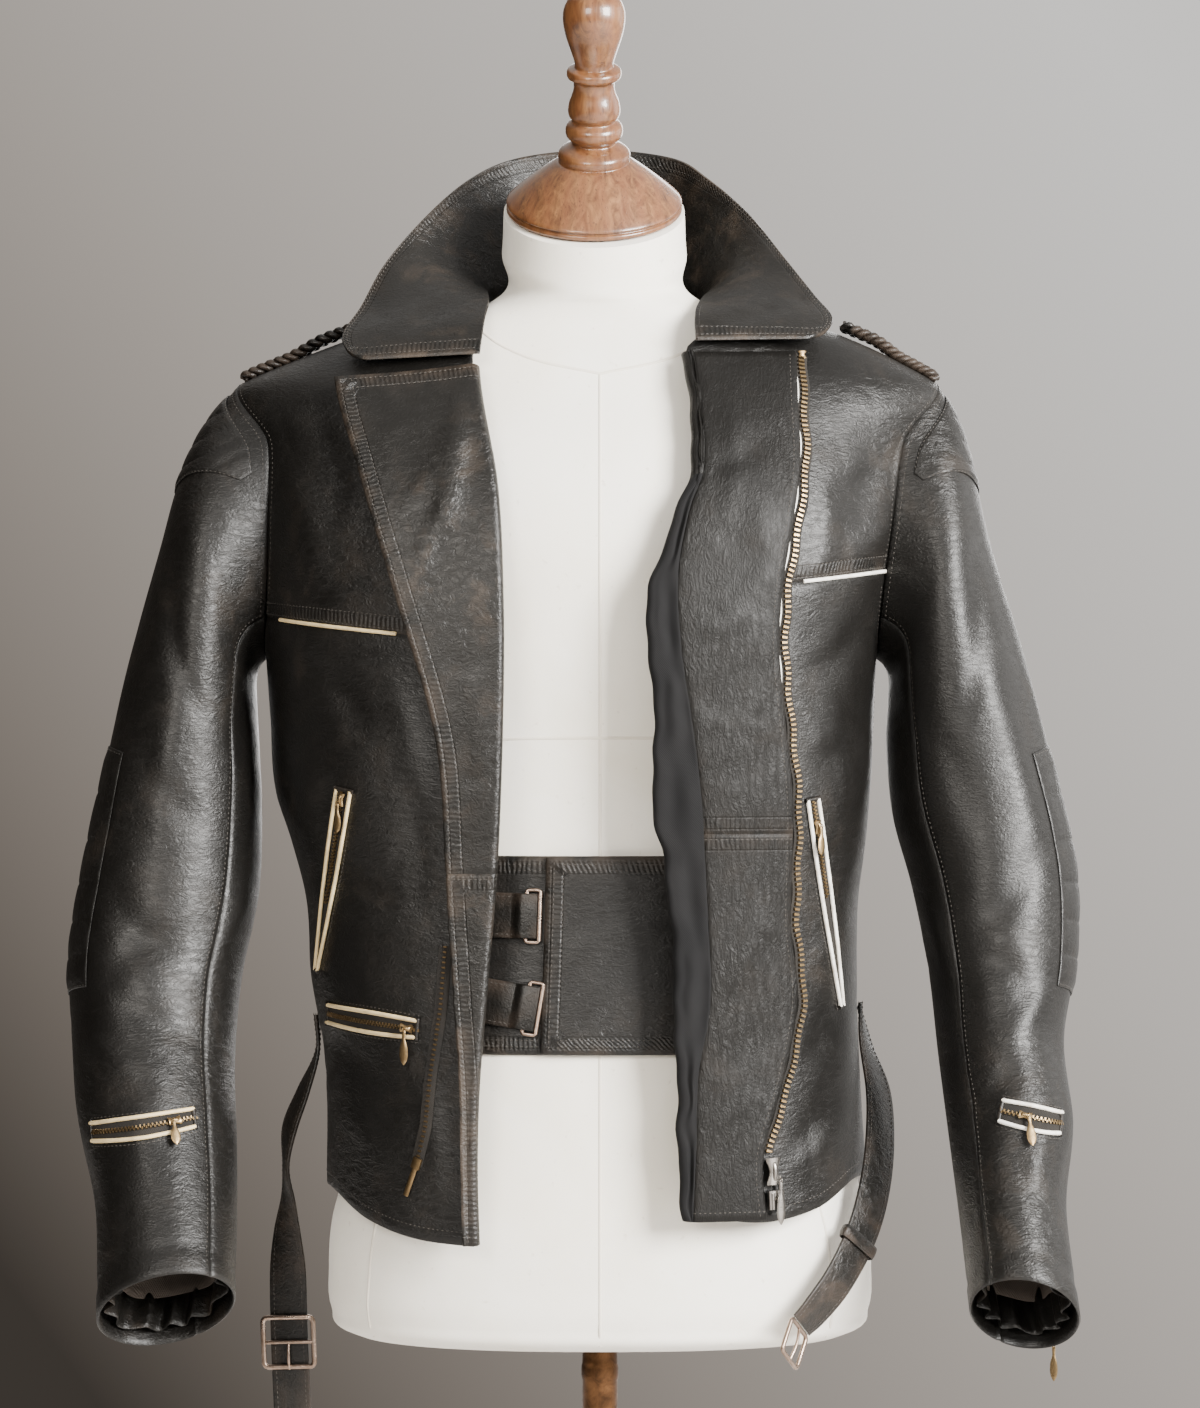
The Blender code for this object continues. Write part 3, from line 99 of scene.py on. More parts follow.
form = rowTable(
    "z       half    front  back    power lean",
    (0.7400, 0.168, 0.106, 0.108, 2.4, 0.00),
    (0.7440, 0.178, 0.114, 0.117, 2.4, 0.00),
    (0.7560, 0.184, 0.120, 0.123, 2.4, 0.00),
    (0.7850, 0.186, 0.123, 0.126, 2.4, 0.00),
    (0.8150, 0.184, 0.123, 0.126, 2.4, 0.00),
    (0.8500, 0.175, 0.119, 0.122, 2.4, 0.00),
    (0.9380, 0.164, 0.112, 0.1105, 2.4, 0.00),
    (1.0000, 0.154, 0.106, 0.098, 2.4, 0.00),
    (1.0670, 0.147, 0.102, 0.091, 2.4, 0.00),
    (1.1400, 0.146, 0.103, 0.092, 2.4, 0.00),
    (1.2100, 0.155, 0.112, 0.104, 2.4, 0.00),
    (1.2800, 0.170, 0.118, 0.114, 2.3, 0.00),
    (1.3400, 0.182, 0.102, 0.110, 2.1, 0.00),
    (1.3800, 0.187, 0.076, 0.086, 2.0, 0.00),
    (1.4030, 0.184, 0.066, 0.072, 2.0, 0.00),
    (1.4144, 0.1770, 0.061, 0.066, 2.0, 0.00),
    (1.4284, 0.1365, 0.057, 0.060, 2.0, 0.00),
    (1.4380, 0.0900, 0.058, 0.055, 2.0, 0.00),
    (1.4480, 0.0690, 0.060, 0.055, 2.0, 0.10),
    (1.4800, 0.0635, 0.060, 0.060, 2.0, 0.44),
    (1.5080, 0.0622, 0.060, 0.060, 2.0, 0.532))
rightEdge = rowTable(
    "z      fold    free",
    (0.812, -0.0785, -0.0870),
    (0.860, -0.0800, -0.0880),
    (0.912, -0.0790, -0.0890),
    (0.976, -0.0740, -0.0935),
    (1.061, -0.0670, -0.0990),
    (1.146, -0.0635, -0.1050),
    (1.237, -0.0630, -0.1290),
    (1.306, -0.0670, -0.1500),
    (1.383, -0.0810, -0.1740),
    (1.405, -0.0820, -0.1800))
leftEdge = rowTable(
    "z      fold    seam    free",
    (0.828, 0.0540, 0.0600, 0.1070),
    (0.870, 0.0510, 0.0620, 0.1040),
    (0.920, 0.0500, 0.0630, 0.1170),
    (0.975, 0.0485, 0.0710, 0.1270),
    (1.025, 0.0460, 0.0700, 0.1225),
    (1.062, 0.0420, 0.0680, 0.1235),
    (1.104, 0.0340, 0.0660, 0.1240),
    (1.158, 0.0360, 0.0590, 0.1190),
    (1.209, 0.0300, 0.0520, 0.1150),
    (1.243, 0.0320, 0.0500, 0.1170),
    (1.290, 0.0480, 0.0570, 0.1250),
    (1.325, 0.0600, 0.0670, 0.1300),
    (1.371, 0.0590, 0.0650, 0.1300),
    (1.411, 0.0530, 0.0600, 0.1300))
neckEdge = rowTable(
    "z      right   left",
    (1.405, -0.0790, 0.0600),
    (1.417, -0.0830, 0.0680),
    (1.431, -0.0900, 0.0760),
    (1.441, -0.0960, 0.0850))
hem = rowTable(
    "along right  left",
    (0.00, 0.815, 0.837),
    (0.20, 0.818, 0.830),
    (0.45, 0.828, 0.836),
    (0.70, 0.842, 0.851),
    (1.00, 0.843, 0.846))
rightSleeve = rowTable(
    "row outerX outerZ innerX innerZ y     depth  tilt",
    (0, -0.246, 1.389, -0.228, 1.200, 0.000, 0.058, 0),
    (1, -0.270, 1.360, -0.233, 1.195, 0.000, 0.069, 0),
    (2, -0.288, 1.322, -0.236, 1.186, -0.001, 0.075, 0),
    (3, -0.301, 1.275, -0.2355, 1.170, -0.003, 0.076, 0),
    (4, -0.318, 1.212, -0.2335, 1.140, -0.007, 0.074, 1),
    (5, -0.334, 1.140, -0.2310, 1.095, -0.014, 0.071, 3),
    (6, -0.350, 1.060, -0.2320, 1.040, -0.026, 0.067, 6),
    (7, -0.358, 0.995, -0.2420, 0.985, -0.042, 0.063, 11),
    (8, -0.354, 0.940, -0.2450, 0.930, -0.062, 0.060, 17),
    (9, -0.346, 0.885, -0.2410, 0.880, -0.092, 0.056, 24),
    (10, -0.331, 0.833, -0.2380, 0.832, -0.124, 0.051, 30),
    (11, -0.325, 0.768, -0.2360, 0.786, -0.163, 0.045, 37))
leftSleeve = rowTable(
    "row outerX outerZ innerX innerZ y     depth  tilt",
    (0, 0.231, 1.389, 0.190, 1.200, 0.000, 0.058, 0),
    (1, 0.246, 1.360, 0.195, 1.195, 0.000, 0.069, 0),
    (2, 0.257, 1.322, 0.198, 1.186, -0.001, 0.075, 0),
    (3, 0.268, 1.275, 0.1975, 1.170, -0.003, 0.076, 0),
    (4, 0.287, 1.212, 0.1960, 1.140, -0.007, 0.074, 1),
    (5, 0.305, 1.140, 0.2000, 1.092, -0.014, 0.071, 3),
    (6, 0.322, 1.060, 0.2120, 1.045, -0.026, 0.067, 6),
    (7, 0.321, 0.995, 0.2220, 0.990, -0.042, 0.063, 11),
    (8, 0.311, 0.940, 0.2270, 0.935, -0.062, 0.060, 17),
    (9, 0.314, 0.885, 0.2320, 0.880, -0.092, 0.056, 24),
    (10, 0.306, 0.833, 0.2360, 0.832, -0.124, 0.051, 30),
    (11, 0.310, 0.768, 0.2390, 0.780, -0.163, 0.045, 37))
cut = {"leather": 0.0020, "facing": 0.0024, "collar": 0.0030, "lining": 0.0014, "seam": 0.0003,
       "rest": 0.0005, "turnGap": 0.0008, "facingSpring": 0.0022, "chestSpring": 0.0010,
       "shoulderTip": 1.389, "armpit": 1.200, "armholeDepth": 0.058, "armholeGap": 0.0007,
       "rightFacing": (0.816, 1.058, 1.381), "leftFacing": (0.832, 1.084, 1.403), "lapelRise": 0.013,
       "yokeStep": {-1: 2, 1: 3}, "backNeckRise": 0.024, "bodyLow": 0.843, "bodyTop": 1.441,
       "backSeams": (1.298, 1.012)}  # the yoke seam and the waist seam
sides = ((-1, "right"), (1, "left"))  # the wearer's, with the sign of their x


# A level section is a superellipse: x = half * |sin|^(2/power), y = -depth * |cos|^(2/power), signs kept
def sectionPoint(left, right, front, back, power, turn, z):
    sine, cosine = np.sin(turn), np.cos(turn)
    bend = 2.0 / power
    x = np.where(sine > 0, left, right) * np.sign(sine) * np.abs(sine)**bend
    y = -np.where(cosine > 0, front, back) * np.sign(cosine) * np.abs(cosine)**bend
    return np.stack(np.broadcast_arrays(x, y, z), axis=-1)


def bodyPoint(turn, z):
    s = columnsAt(body, "z", z)
    return sectionPoint(s["left"], s["right"], s["front"], s["back"], s["power"], turn, z)


def formPoint(turn, z):
    s = columnsAt(form, "z", z)
    point = sectionPoint(s["half"], s["half"], s["front"], s["back"], s["power"], turn, z)
    point[..., 2] = point[..., 2] + s["lean"] * point[..., 1]
    return point


def normalOf(surface, turn, z, step=0.01, rise=0.002):  # cross product of the two central differences
    along = surface(turn + step, z) - surface(turn - step, z)
    up = surface(turn, z + rise) - surface(turn, z - rise)
    return unit(np.cross(along, up))


def turnAtX(x, z):
    s = columnsAt(body, "z", z)
    half = np.where(x > 0, s["left"], s["right"])
    return np.sign(x) * np.arcsin(np.clip(np.abs(x) / half, 0, 1)**(s["power"] / 2))


def turnAtY(side, y, z):
    s = columnsAt(body, "z", z)
    ahead = np.arccos(np.clip(np.abs(y) / s["front"], 0, 1)**(s["power"] / 2))
    behind = math.pi - np.arccos(np.clip(np.abs(y) / s["back"], 0, 1)**(s["power"] / 2))
    return side * np.where(y < 0, ahead, behind)


def armholeHeight(angle):
    high, low = cut["shoulderTip"], cut["armpit"]
    return (high + low) / 2 + (high - low) / 2 * np.cos(angle)


def armholePoint(side, angle):
    z = armholeHeight(angle)
    return bodyPoint(turnAtY(side, -cut["armholeDepth"] * np.sin(angle), z), z)


def sideTurn(side, face, z):  # the side seam, the armhole's edge, then the shoulder's ridge
    middle = (cut["shoulderTip"] + cut["armpit"]) / 2
    angle = np.arccos(np.clip((z - middle) / (cut["shoulderTip"] - middle), -1, 1))
    hole = turnAtY(side, -face * cut["armholeDepth"] * np.sin(angle), z)
    s = columnsAt(body, "z", z)
    trim = side * face * cut["seam"] / np.where(side > 0, s["left"], s["right"])
    inside = (z > cut["armpit"]) & (z < cut["shoulderTip"])
    return np.where(inside, hole - 0.3 * trim, side * math.pi / 2 - trim)


# Meshes. A raw surface is (points, faces, wear) and a piece joins one or more of them
def gridFaces(rows, columns, closed=False, first=0):
    turns = columns if closed else columns - 1
    r, c = np.meshgrid(np.arange(rows - 1), np.arange(turns), indexing="ij")
    n = (c + 1) % columns
    quads = np.stack([r * columns + c, r * columns + n, (r + 1) * columns + n, (r + 1) * columns + c], axis=-1)
    return quads.reshape(-1, 4) + first


# A thin wall: outer points, the same moved in by the thickness, and a rounded rim between their edges. It
# keeps each point's distance from the nearest hem, and its place along that hem, for the leather's puckers
def shell(points, normals, thickness, closed=False, hems=(), wearWidth=0.006):
    rows, columns = points.shape[:2]
    thickness = np.broadcast_to(np.asarray(thickness, dtype=float), (rows, columns))[..., None]
    inner = points - normals * thickness
    u = np.concatenate([np.zeros((rows, 1)), np.cumsum(np.linalg.norm(np.diff(points, axis=1), axis=2), 1)], 1)
    steps = np.linalg.norm(np.diff(points, axis=0), axis=2)
    v = np.concatenate([np.zeros((1, columns)), np.cumsum(steps, 0)], 0)
    far, along = np.full((rows, columns), 1.0), np.zeros((rows, columns))
    fromEdge = {"first": (u, v), "last": (u[:, -1:] - u, v), "low": (v, u), "high": (v[-1:] - v, u)}
    for name in hems:
        along = np.where(fromEdge[name][0] < far, fromEdge[name][1], along)
        far = np.minimum(far, fromEdge[name][0])
    wear = np.exp(-far / wearWidth)
    count = rows * columns
    grid = np.arange(count).reshape(rows, columns)
    faces = [gridFaces(rows, columns, closed), gridFaces(rows, columns, closed, count)[:, ::-1]]
    if closed:
        loops = [(grid[0], grid[1]), (grid[-1], grid[-2])]
    else:
        edge = np.concatenate([grid[0, :-1], grid[:-1, -1], grid[-1, :0:-1], grid[:0:-1, 0]])
        r, c = np.unravel_index(edge, (rows, columns))
        near = grid[np.clip(r, 1, rows - 2), np.clip(c, 1, columns - 2)]
        loops = [(edge, near)]
    flat, flatIn = points.reshape(-1, 3), inner.reshape(-1, 3)
    rim, rimCount = [], 0
    for edge, near in loops:
        out = unit(flat[edge] - flat[near])
        across = flat[edge] - flatIn[edge]
        rim.append((flat[edge] + flatIn[edge]) / 2 + out * np.linalg.norm(across, axis=1, keepdims=True) * 0.42)
        i = np.arange(len(edge))
        n = (i + 1) % len(edge)
        first = 2 * count + rimCount
        faces.append(np.stack([edge[i], edge[n], first + n, first + i], axis=1))
        faces.append(np.stack([first + i, first + n, count + edge[n], count + edge[i]], axis=1))
        rimCount += len(edge)
    rimEdge = np.concatenate([edge for edge, _ in loops])
    wearAll = np.concatenate([wear.ravel(), wear.ravel() * 0.4, wear.ravel()[rimEdge]])
    cloth = np.stack([u.ravel(), v.ravel(), far.ravel(), along.ravel()], axis=1)
    uvAll = np.concatenate([cloth, cloth, cloth[rimEdge]])
    return np.concatenate([flat, flatIn, *rim]), np.concatenate(faces).tolist(), wearAll, uvAll


# A tube: an ellipse of half width a (across the path) and half height b (along its normals) at each point
def tube(path, normals, a, b, sides=8, closed=False, wear=0.3):
    path = np.asarray(path, dtype=float)
    along = unit(np.roll(path, -1, 0) - np.roll(path, 1, 0)) if closed else unit(np.gradient(path, axis=0))
    across = unit(np.cross(along, normals))
    up = np.cross(across, along)
    count = len(path)
    a, b = np.broadcast_to(a, count), np.broadcast_to(b, count)
    turn = np.linspace(0, 2 * math.pi, sides, endpoint=False)
    points = (path[:, None] + across[:, None] * (np.cos(turn)[None, :, None] * a[:, None, None])
              + up[:, None] * (np.sin(turn)[None, :, None] * b[:, None, None]))
    faces = gridFaces(count, sides, True).tolist()
    if closed:
        last = (count - 1) * sides
        i = np.arange(sides)
        n = (i + 1) % sides
        faces += np.stack([last + i, last + n, n, i], axis=1).tolist()
    else:
        faces += [list(range(sides)), list(range((count - 1) * sides, count * sides))]
    return points.reshape(-1, 3), faces, np.full(count * sides, wear), None


# Copies of one small form, each turned by its own along, across and up directions
def copies(template, templateFaces, centres, along, across, up, wear=0.3):
    frames = np.stack([along, across, up], axis=1)
    points = centres[:, None] + np.einsum("tk,nkj->ntj", template, frames)
    size = len(template)
    starts = np.arange(len(centres)) * size
    faces = [[v + s for v in face] for s in starts.tolist() for face in templateFaces]
    return points.reshape(-1, 3), faces, np.full(len(centres) * size, wear), None


materials = {}


# Joins raw surfaces into one piece at the origin, which rides on a body and stands for frame nodes
def makePiece(name, raws, look, rides=root, hides=(), smoothAngle=60):
    points = np.concatenate([raw[0] for raw in raws])
    faces, first = [], 0
    for raw in raws:
        faces += raw[1] if first == 0 else [[v + first for v in face] for face in raw[1]]
        first += len(raw[0])
    mesh = bpy.data.meshes.new(name)
    mesh.from_pydata(points.tolist(), [], faces)
    wear = mesh.attributes.new("wear", "FLOAT", "POINT")
    wear.data.foreach_set("value", np.concatenate([raw[2] for raw in raws]).astype(np.float32))
    if all(raw[3] is not None for raw in raws):
        uv = np.concatenate([raw[3] for raw in raws])
        layer = mesh.uv_layers.new(name="cloth")
        corners = np.zeros(len(mesh.loops), dtype=np.int32)
        mesh.loops.foreach_get("vertex_index", corners)
        layer.data.foreach_set("uv", uv[corners, :2].astype(np.float32).ravel())
        hem = mesh.attributes.new("hem", "FLOAT_VECTOR", "POINT")
        hem.data.foreach_set("vector", np.pad(uv[:, 2:], ((0, 0), (0, 1))).astype(np.float32).ravel())
    work = bmesh.new()
    work.from_mesh(mesh)
    bmesh.ops.recalc_face_normals(work, faces=work.faces)
    work.to_mesh(mesh)
    work.free()
    mesh.shade_smooth()
    mesh.set_sharp_from_angle(angle=math.radians(smoothAngle))
    piece = bpy.data.objects.new(name, mesh)
    bpy.context.scene.collection.objects.link(piece)
    mesh.materials.append(materials[look])
    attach(piece, rides)
    if hides:
        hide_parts(*hides)
    return piece


# The size a panel was cut to: its mean arc across and along, and its area
def cutSize(points):
    wide = np.linalg.norm(np.diff(points, axis=1), axis=2).sum(1)
    long = np.linalg.norm(np.diff(points, axis=0), axis=2).sum(0)
    du = points[:-1, 1:] - points[:-1, :-1]
    dv = points[1:, :-1] - points[:-1, :-1]
    area = np.linalg.norm(np.cross(du, dv), axis=2).sum()
    return (float(wide.max()), float(long.max())), float(area)


def declareCloth(points):
    flat, area = cutSize(points)
    area = min(area, flat[0] * flat[1])


# Creases: each a soft trough (or ridge) along a slightly bowed line, a bell across and half a sine along
def creased(u, v, creases):
    lift = np.zeros(np.broadcast(u, v).shape)
    for u0, v0, u1, v1, depth, width in creases:
        du, dv = u1 - u0, v1 - v0
        length = math.hypot(du, dv)
        t = np.clip(((u - u0) * du + (v - v0) * dv) / length**2, 0, 1)
        away = ((v - v0) * du - (u - u0) * dv) / length - 0.07 * length * np.sin(math.pi * t)
        lift += depth * np.exp(-(away / width)**2) * np.sin(math.pi * t)
    return lift


# Uneven creases scattered over an area, all leaning about one way
def scatter(seed, count, area, lengths, lean, spread, depth, width):
    rng = np.random.default_rng(seed)
    u0, v0, u1, v1 = area
    found = []
    for _ in range(count):
        u, v = rng.uniform(u0, u1), rng.uniform(v0, v1)
        half = rng.uniform(*lengths) / 2
        angle = math.radians(rng.normal(lean, spread))
        size = rng.uniform(0.45, 1.0) * (1 if rng.random() < 0.68 else -0.7)
        found.append((u - half * math.cos(angle), v - half * math.sin(angle),
                      u + half * math.cos(angle), v + half * math.sin(angle),
                      -depth * size, width * rng.uniform(0.7, 1.3)))
    return found


def edgeFade(rows, columns, up, across):
    v = np.linspace(0, 1, rows)[:, None]
    u = np.linspace(0, 1, columns)[None, :]
    return ease(np.minimum(v, 1 - v) / up) * ease(np.minimum(u, 1 - u) / across)


def gridNormals(points, like=None):
    normals = unit(np.cross(np.gradient(points, axis=1), np.gradient(points, axis=0)))
    if like is not None and (normals * like).sum() < 0:
        normals = -normals
    return normals


def between(grid, row, column):  # bilinear
    row, column = np.clip(row, 0, grid.shape[0] - 1), np.clip(column, 0, grid.shape[1] - 1)
    r = np.minimum(row.astype(int), grid.shape[0] - 2)
    c = np.minimum(column.astype(int), grid.shape[1] - 2)
    u, v = (row - r)[..., None], (column - c)[..., None]
    return ((1 - u) * (1 - v) * grid[r, c] + (1 - u) * v * grid[r, c + 1]
            + u * (1 - v) * grid[r + 1, c] + u * v * grid[r + 1, c + 1])


def onPanel(panel, row, column):
    row, column = np.broadcast_arrays(np.asarray(row, dtype=float), np.asarray(column, dtype=float))
    return between(panel["points"], row, column), unit(between(panel["normals"], row, column))


# Rows and columns of a panel behind each x and z as seen from the front: the nearest grid point, then
# Newton steps on the bilinear surface
def findOn(panel, spots):
    grid = panel["points"]
    spots = np.asarray(spots, dtype=float)
    shown = panel["normals"][..., 1] < 0.2
    miss = (grid[None, ..., 0] - spots[:, None, None, 0])**2 + (grid[None, ..., 2] - spots[:, None, None, 1])**2
    best = (miss + ~shown[None]).reshape(len(spots), -1).argmin(1)
    row, column = np.unravel_index(best, grid.shape[:2])
    row, column = row.astype(float), column.astype(float)
    for _ in range(5):
        here = between(grid, row, column)[:, ::2]
        byRow = (between(grid, row + 0.3, column) - between(grid, row - 0.3, column))[:, ::2] / 0.6
        byColumn = (between(grid, row, column + 0.3) - between(grid, row, column - 0.3))[:, ::2] / 0.6
        gap = spots - here
        size = byRow[:, 0] * byColumn[:, 1] - byRow[:, 1] * byColumn[:, 0]
        size = np.where(np.abs(size) < 1e-10, 1e-10, size)
        row = row + np.clip((gap[:, 0] * byColumn[:, 1] - gap[:, 1] * byColumn[:, 0]) / size, -2, 2)
        column = column + np.clip((byRow[:, 0] * gap[:, 1] - byRow[:, 1] * gap[:, 0]) / size, -2, 2)
    return row, column


def resample(points, normals, pitch):
    arc = np.concatenate([[0], np.cumsum(np.linalg.norm(np.diff(points, axis=0), axis=1))])
    at = np.linspace(0, arc[-1], max(2, int(round(arc[-1] / pitch))) + 1)
    found, faces = (np.stack([np.interp(at, arc, values[:, k]) for k in range(3)], axis=1)
                    for values in (points, normals))
    return found, unit(faces)


# A path over a panel through spots in x and z
def pathOn(panel, spots, step=0.003):
    spots = np.asarray(spots, dtype=float)
    arc = np.concatenate([[0], np.cumsum(np.hypot(*np.diff(spots, axis=0).T))])
    at = np.linspace(0, arc[-1], max(3, int(arc[-1] / step) + 1))
    row, column = findOn(panel, np.stack([np.interp(at, arc, spots[:, k]) for k in (0, 1)], axis=1))
    return onPanel(panel, row, column)


# A line along a panel's edge, a set distance in from it
def inset(panel, edge, distance, start=0.0, stop=1.0):
    grid = panel["points"]
    rows, columns = grid.shape[:2]
    if edge in ("first", "last"):
        side = (grid[:, 1] - grid[:, 0]) if edge == "first" else (grid[:, -1] - grid[:, -2])
        steps = distance / np.linalg.norm(side, axis=1)
        row = np.linspace(start * (rows - 1), stop * (rows - 1), rows)
        steps = np.interp(row, np.arange(rows), steps)
        return onPanel(panel, row, steps if edge == "first" else columns - 1 - steps)
    side = (grid[1] - grid[0]) if edge == "low" else (grid[-1] - grid[-2])
    steps = distance / np.linalg.norm(side, axis=1)
    column = np.linspace(start * (columns - 1), stop * (columns - 1), columns)
    steps = np.interp(column, np.arange(columns), steps)
    return onPanel(panel, steps if edge == "low" else rows - 1 - steps, column)


# Stitches: short threads, thick in the middle, each sunk at its ends
stitchForm = {"pitch": 0.0034, "radius": 0.00030, "half": 0.37, "thin": 0.45, "sunk": -0.9, "raised": 0.2}
pentagon = np.array([(0, 1), (0.95, 0.31), (0.59, -0.81), (-0.59, -0.81), (-0.95, 0.31)])
allStitches = []


def stitch(path):
    points, normals = resample(path[0], path[1], stitchForm["pitch"])
    along = unit(np.gradient(points, axis=0))
    across = unit(np.cross(along, normals))
    r, half = stitchForm["radius"], stitchForm["pitch"] * stitchForm["half"]
    ends = stitchForm["thin"], stitchForm["sunk"]
    rings = ((-half, *ends), (0, 1.0, stitchForm["raised"]), (half, *ends))
    template = np.concatenate([np.column_stack([np.full(5, x), pentagon * r * scale + [0, r * lift]])
                               for x, scale, lift in rings])
    faces = gridFaces(3, 5, True).tolist() + [[4, 3, 2, 1, 0], [10, 11, 12, 13, 14]]
    allStitches.append(copies(template, faces, points, along, across, normals))


print("tools ready")


# Camera, light and floor. The camera looks level along +Y from in front of the jacket's middle
view = {"place": (0.0, -2.8, 1.169), "focal": 4069.8, "frameHeight": 1408, "sensor": 36.0}
cameraData = bpy.data.cameras.new("camera")
cameraData.sensor_width = view["sensor"]
cameraData.lens = view["focal"] / view["frameHeight"] * view["sensor"]
camera = bpy.data.objects.new("camera", cameraData)
camera.location = view["place"]
camera.rotation_euler = (math.pi / 2, 0, 0)
bpy.context.scene.collection.objects.link(camera)
bpy.context.scene.camera = camera

studio = {  # place, aimed at, size, watts, colour
    "key": ((2.3, -2.2, 2.2), (0.0, 0.0, 1.15), 1.5, 540, (1.0, 0.98, 0.95)),
    "fill": ((-1.2, -3.2, 2.2), (0.0, 0.0, 1.10), 1.2, 90, (1.0, 0.95, 0.88)),
    "rim": ((2.3, 0.9, 1.9), (0.1, 0.0, 1.1), 1.4, 14, (1.0, 0.98, 0.95)),
    "back": ((0.6, 3.0, 1.9), (0.0, 0.0, 1.1), 1.8, 60, (1.0, 0.98, 0.96))}
for name, (place, target, size, watts, colour) in studio.items():
    lightData = bpy.data.lights.new(name, "AREA")
    lightData.size, lightData.energy, lightData.color = size, watts, colour
    light = bpy.data.objects.new(name, lightData)
    light.location = place
    aim = np.array(target) - np.array(place)
    light.rotation_euler = (math.atan2(math.hypot(aim[0], aim[1]), -aim[2]), 0, math.atan2(-aim[0], aim[1]))
    bpy.context.scene.collection.objects.link(light)


# Materials. Each helper adds one node and gives back its output
def addNode(tree, kind, out, inputs, **settings):
    node = tree.nodes.new("ShaderNode" + kind)
    for key, value in settings.items():
        setattr(node, key, value)
    for key, value in inputs.items():
        if isinstance(value, bpy.types.NodeSocket):
            tree.links.new(value, node.inputs[key])
        else:
            node.inputs[key].default_value = value
    return node.outputs[out]


def noise(tree, at, scale, detail=3, roughness=0.5, distortion=0.0):
    return addNode(tree, "TexNoise", 0, {"Vector": at, "Scale": scale, "Detail": detail,
                                         "Roughness": roughness, "Distortion": distortion})


def calc(tree, operation, a, b=0.0):
    return addNode(tree, "Math", 0, {0: a, 1: b}, operation=operation)


def times(tree, a, b):
    return calc(tree, "MULTIPLY", a, b)


def remap(tree, value, low, high, toLow=0.0, toHigh=1.0):
    return addNode(tree, "MapRange", 0, {"Value": value, "From Min": low, "From Max": high,
                                         "To Min": toLow, "To Max": toHigh})


def tint(tree, factor, a, b):
    return addNode(tree, "Mix", 2, {0: factor, 6: a if isinstance(a, bpy.types.NodeSocket) else (*a, 1),
                                    7: b if isinstance(b, bpy.types.NodeSocket) else (*b, 1)}, data_type="RGBA")


def stretch(tree, at, scale, turn=(0, 0, 0)):
    return addNode(tree, "Mapping", 0, {"Vector": at, "Scale": scale, "Rotation": turn})


def bump(tree, height, strength, distance, under=None):
    inputs = {"Height": height, "Strength": strength, "Distance": distance}
    if under is not None:
        inputs["Normal"] = under
    return addNode(tree, "Bump", 0, inputs)


# A pale wall round the set, bright above and to the wearer's left and falling off to the other side
world = bpy.data.worlds.new("studio")
world.use_nodes = True
tree, wall = world.node_tree, {"across": 1.45, "up": 1.1, "dark": (-0.36, 0.05), "bright": (0.35, 0.90)}
ray = addNode(tree, "TexCoord", 0, {})
lean = calc(tree, "ADD", times(tree, addNode(tree, "SeparateXYZ", 0, {0: ray}), wall["across"]),
            times(tree, addNode(tree, "SeparateXYZ", 2, {0: ray}), wall["up"]))
shine = remap(tree, lean, wall["dark"][0], wall["bright"][0], wall["dark"][1], wall["bright"][1])
background = tree.nodes["Background"]
tree.links.new(shine, background.inputs["Strength"])
tree.links.new(tint(tree, shine, (1.0, 0.84, 0.70), (1.0, 0.99, 0.97)), background.inputs["Color"])
bpy.context.scene.world = world


def startLook(name, **constants):
    look = bpy.data.materials.new(name)
    look.use_nodes = True
    tree = look.node_tree
    shader = tree.nodes["Principled BSDF"]
    for key, value in constants.items():
        shader.inputs[key.replace("_", " ")].default_value = value
    materials[name] = look
    at = addNode(tree, "TexCoord", "Object", {})
    return tree, at, lambda key, value: tree.links.new(value, shader.inputs[key])


# Leather: a pebbled grain, drawn creases, slow swells, puckers and sunk lines along a hem, and rubbed places
hemForm = {"first": 0.0030, "second": 0.0106, "line": 0.0009, "pitch": 0.0033}


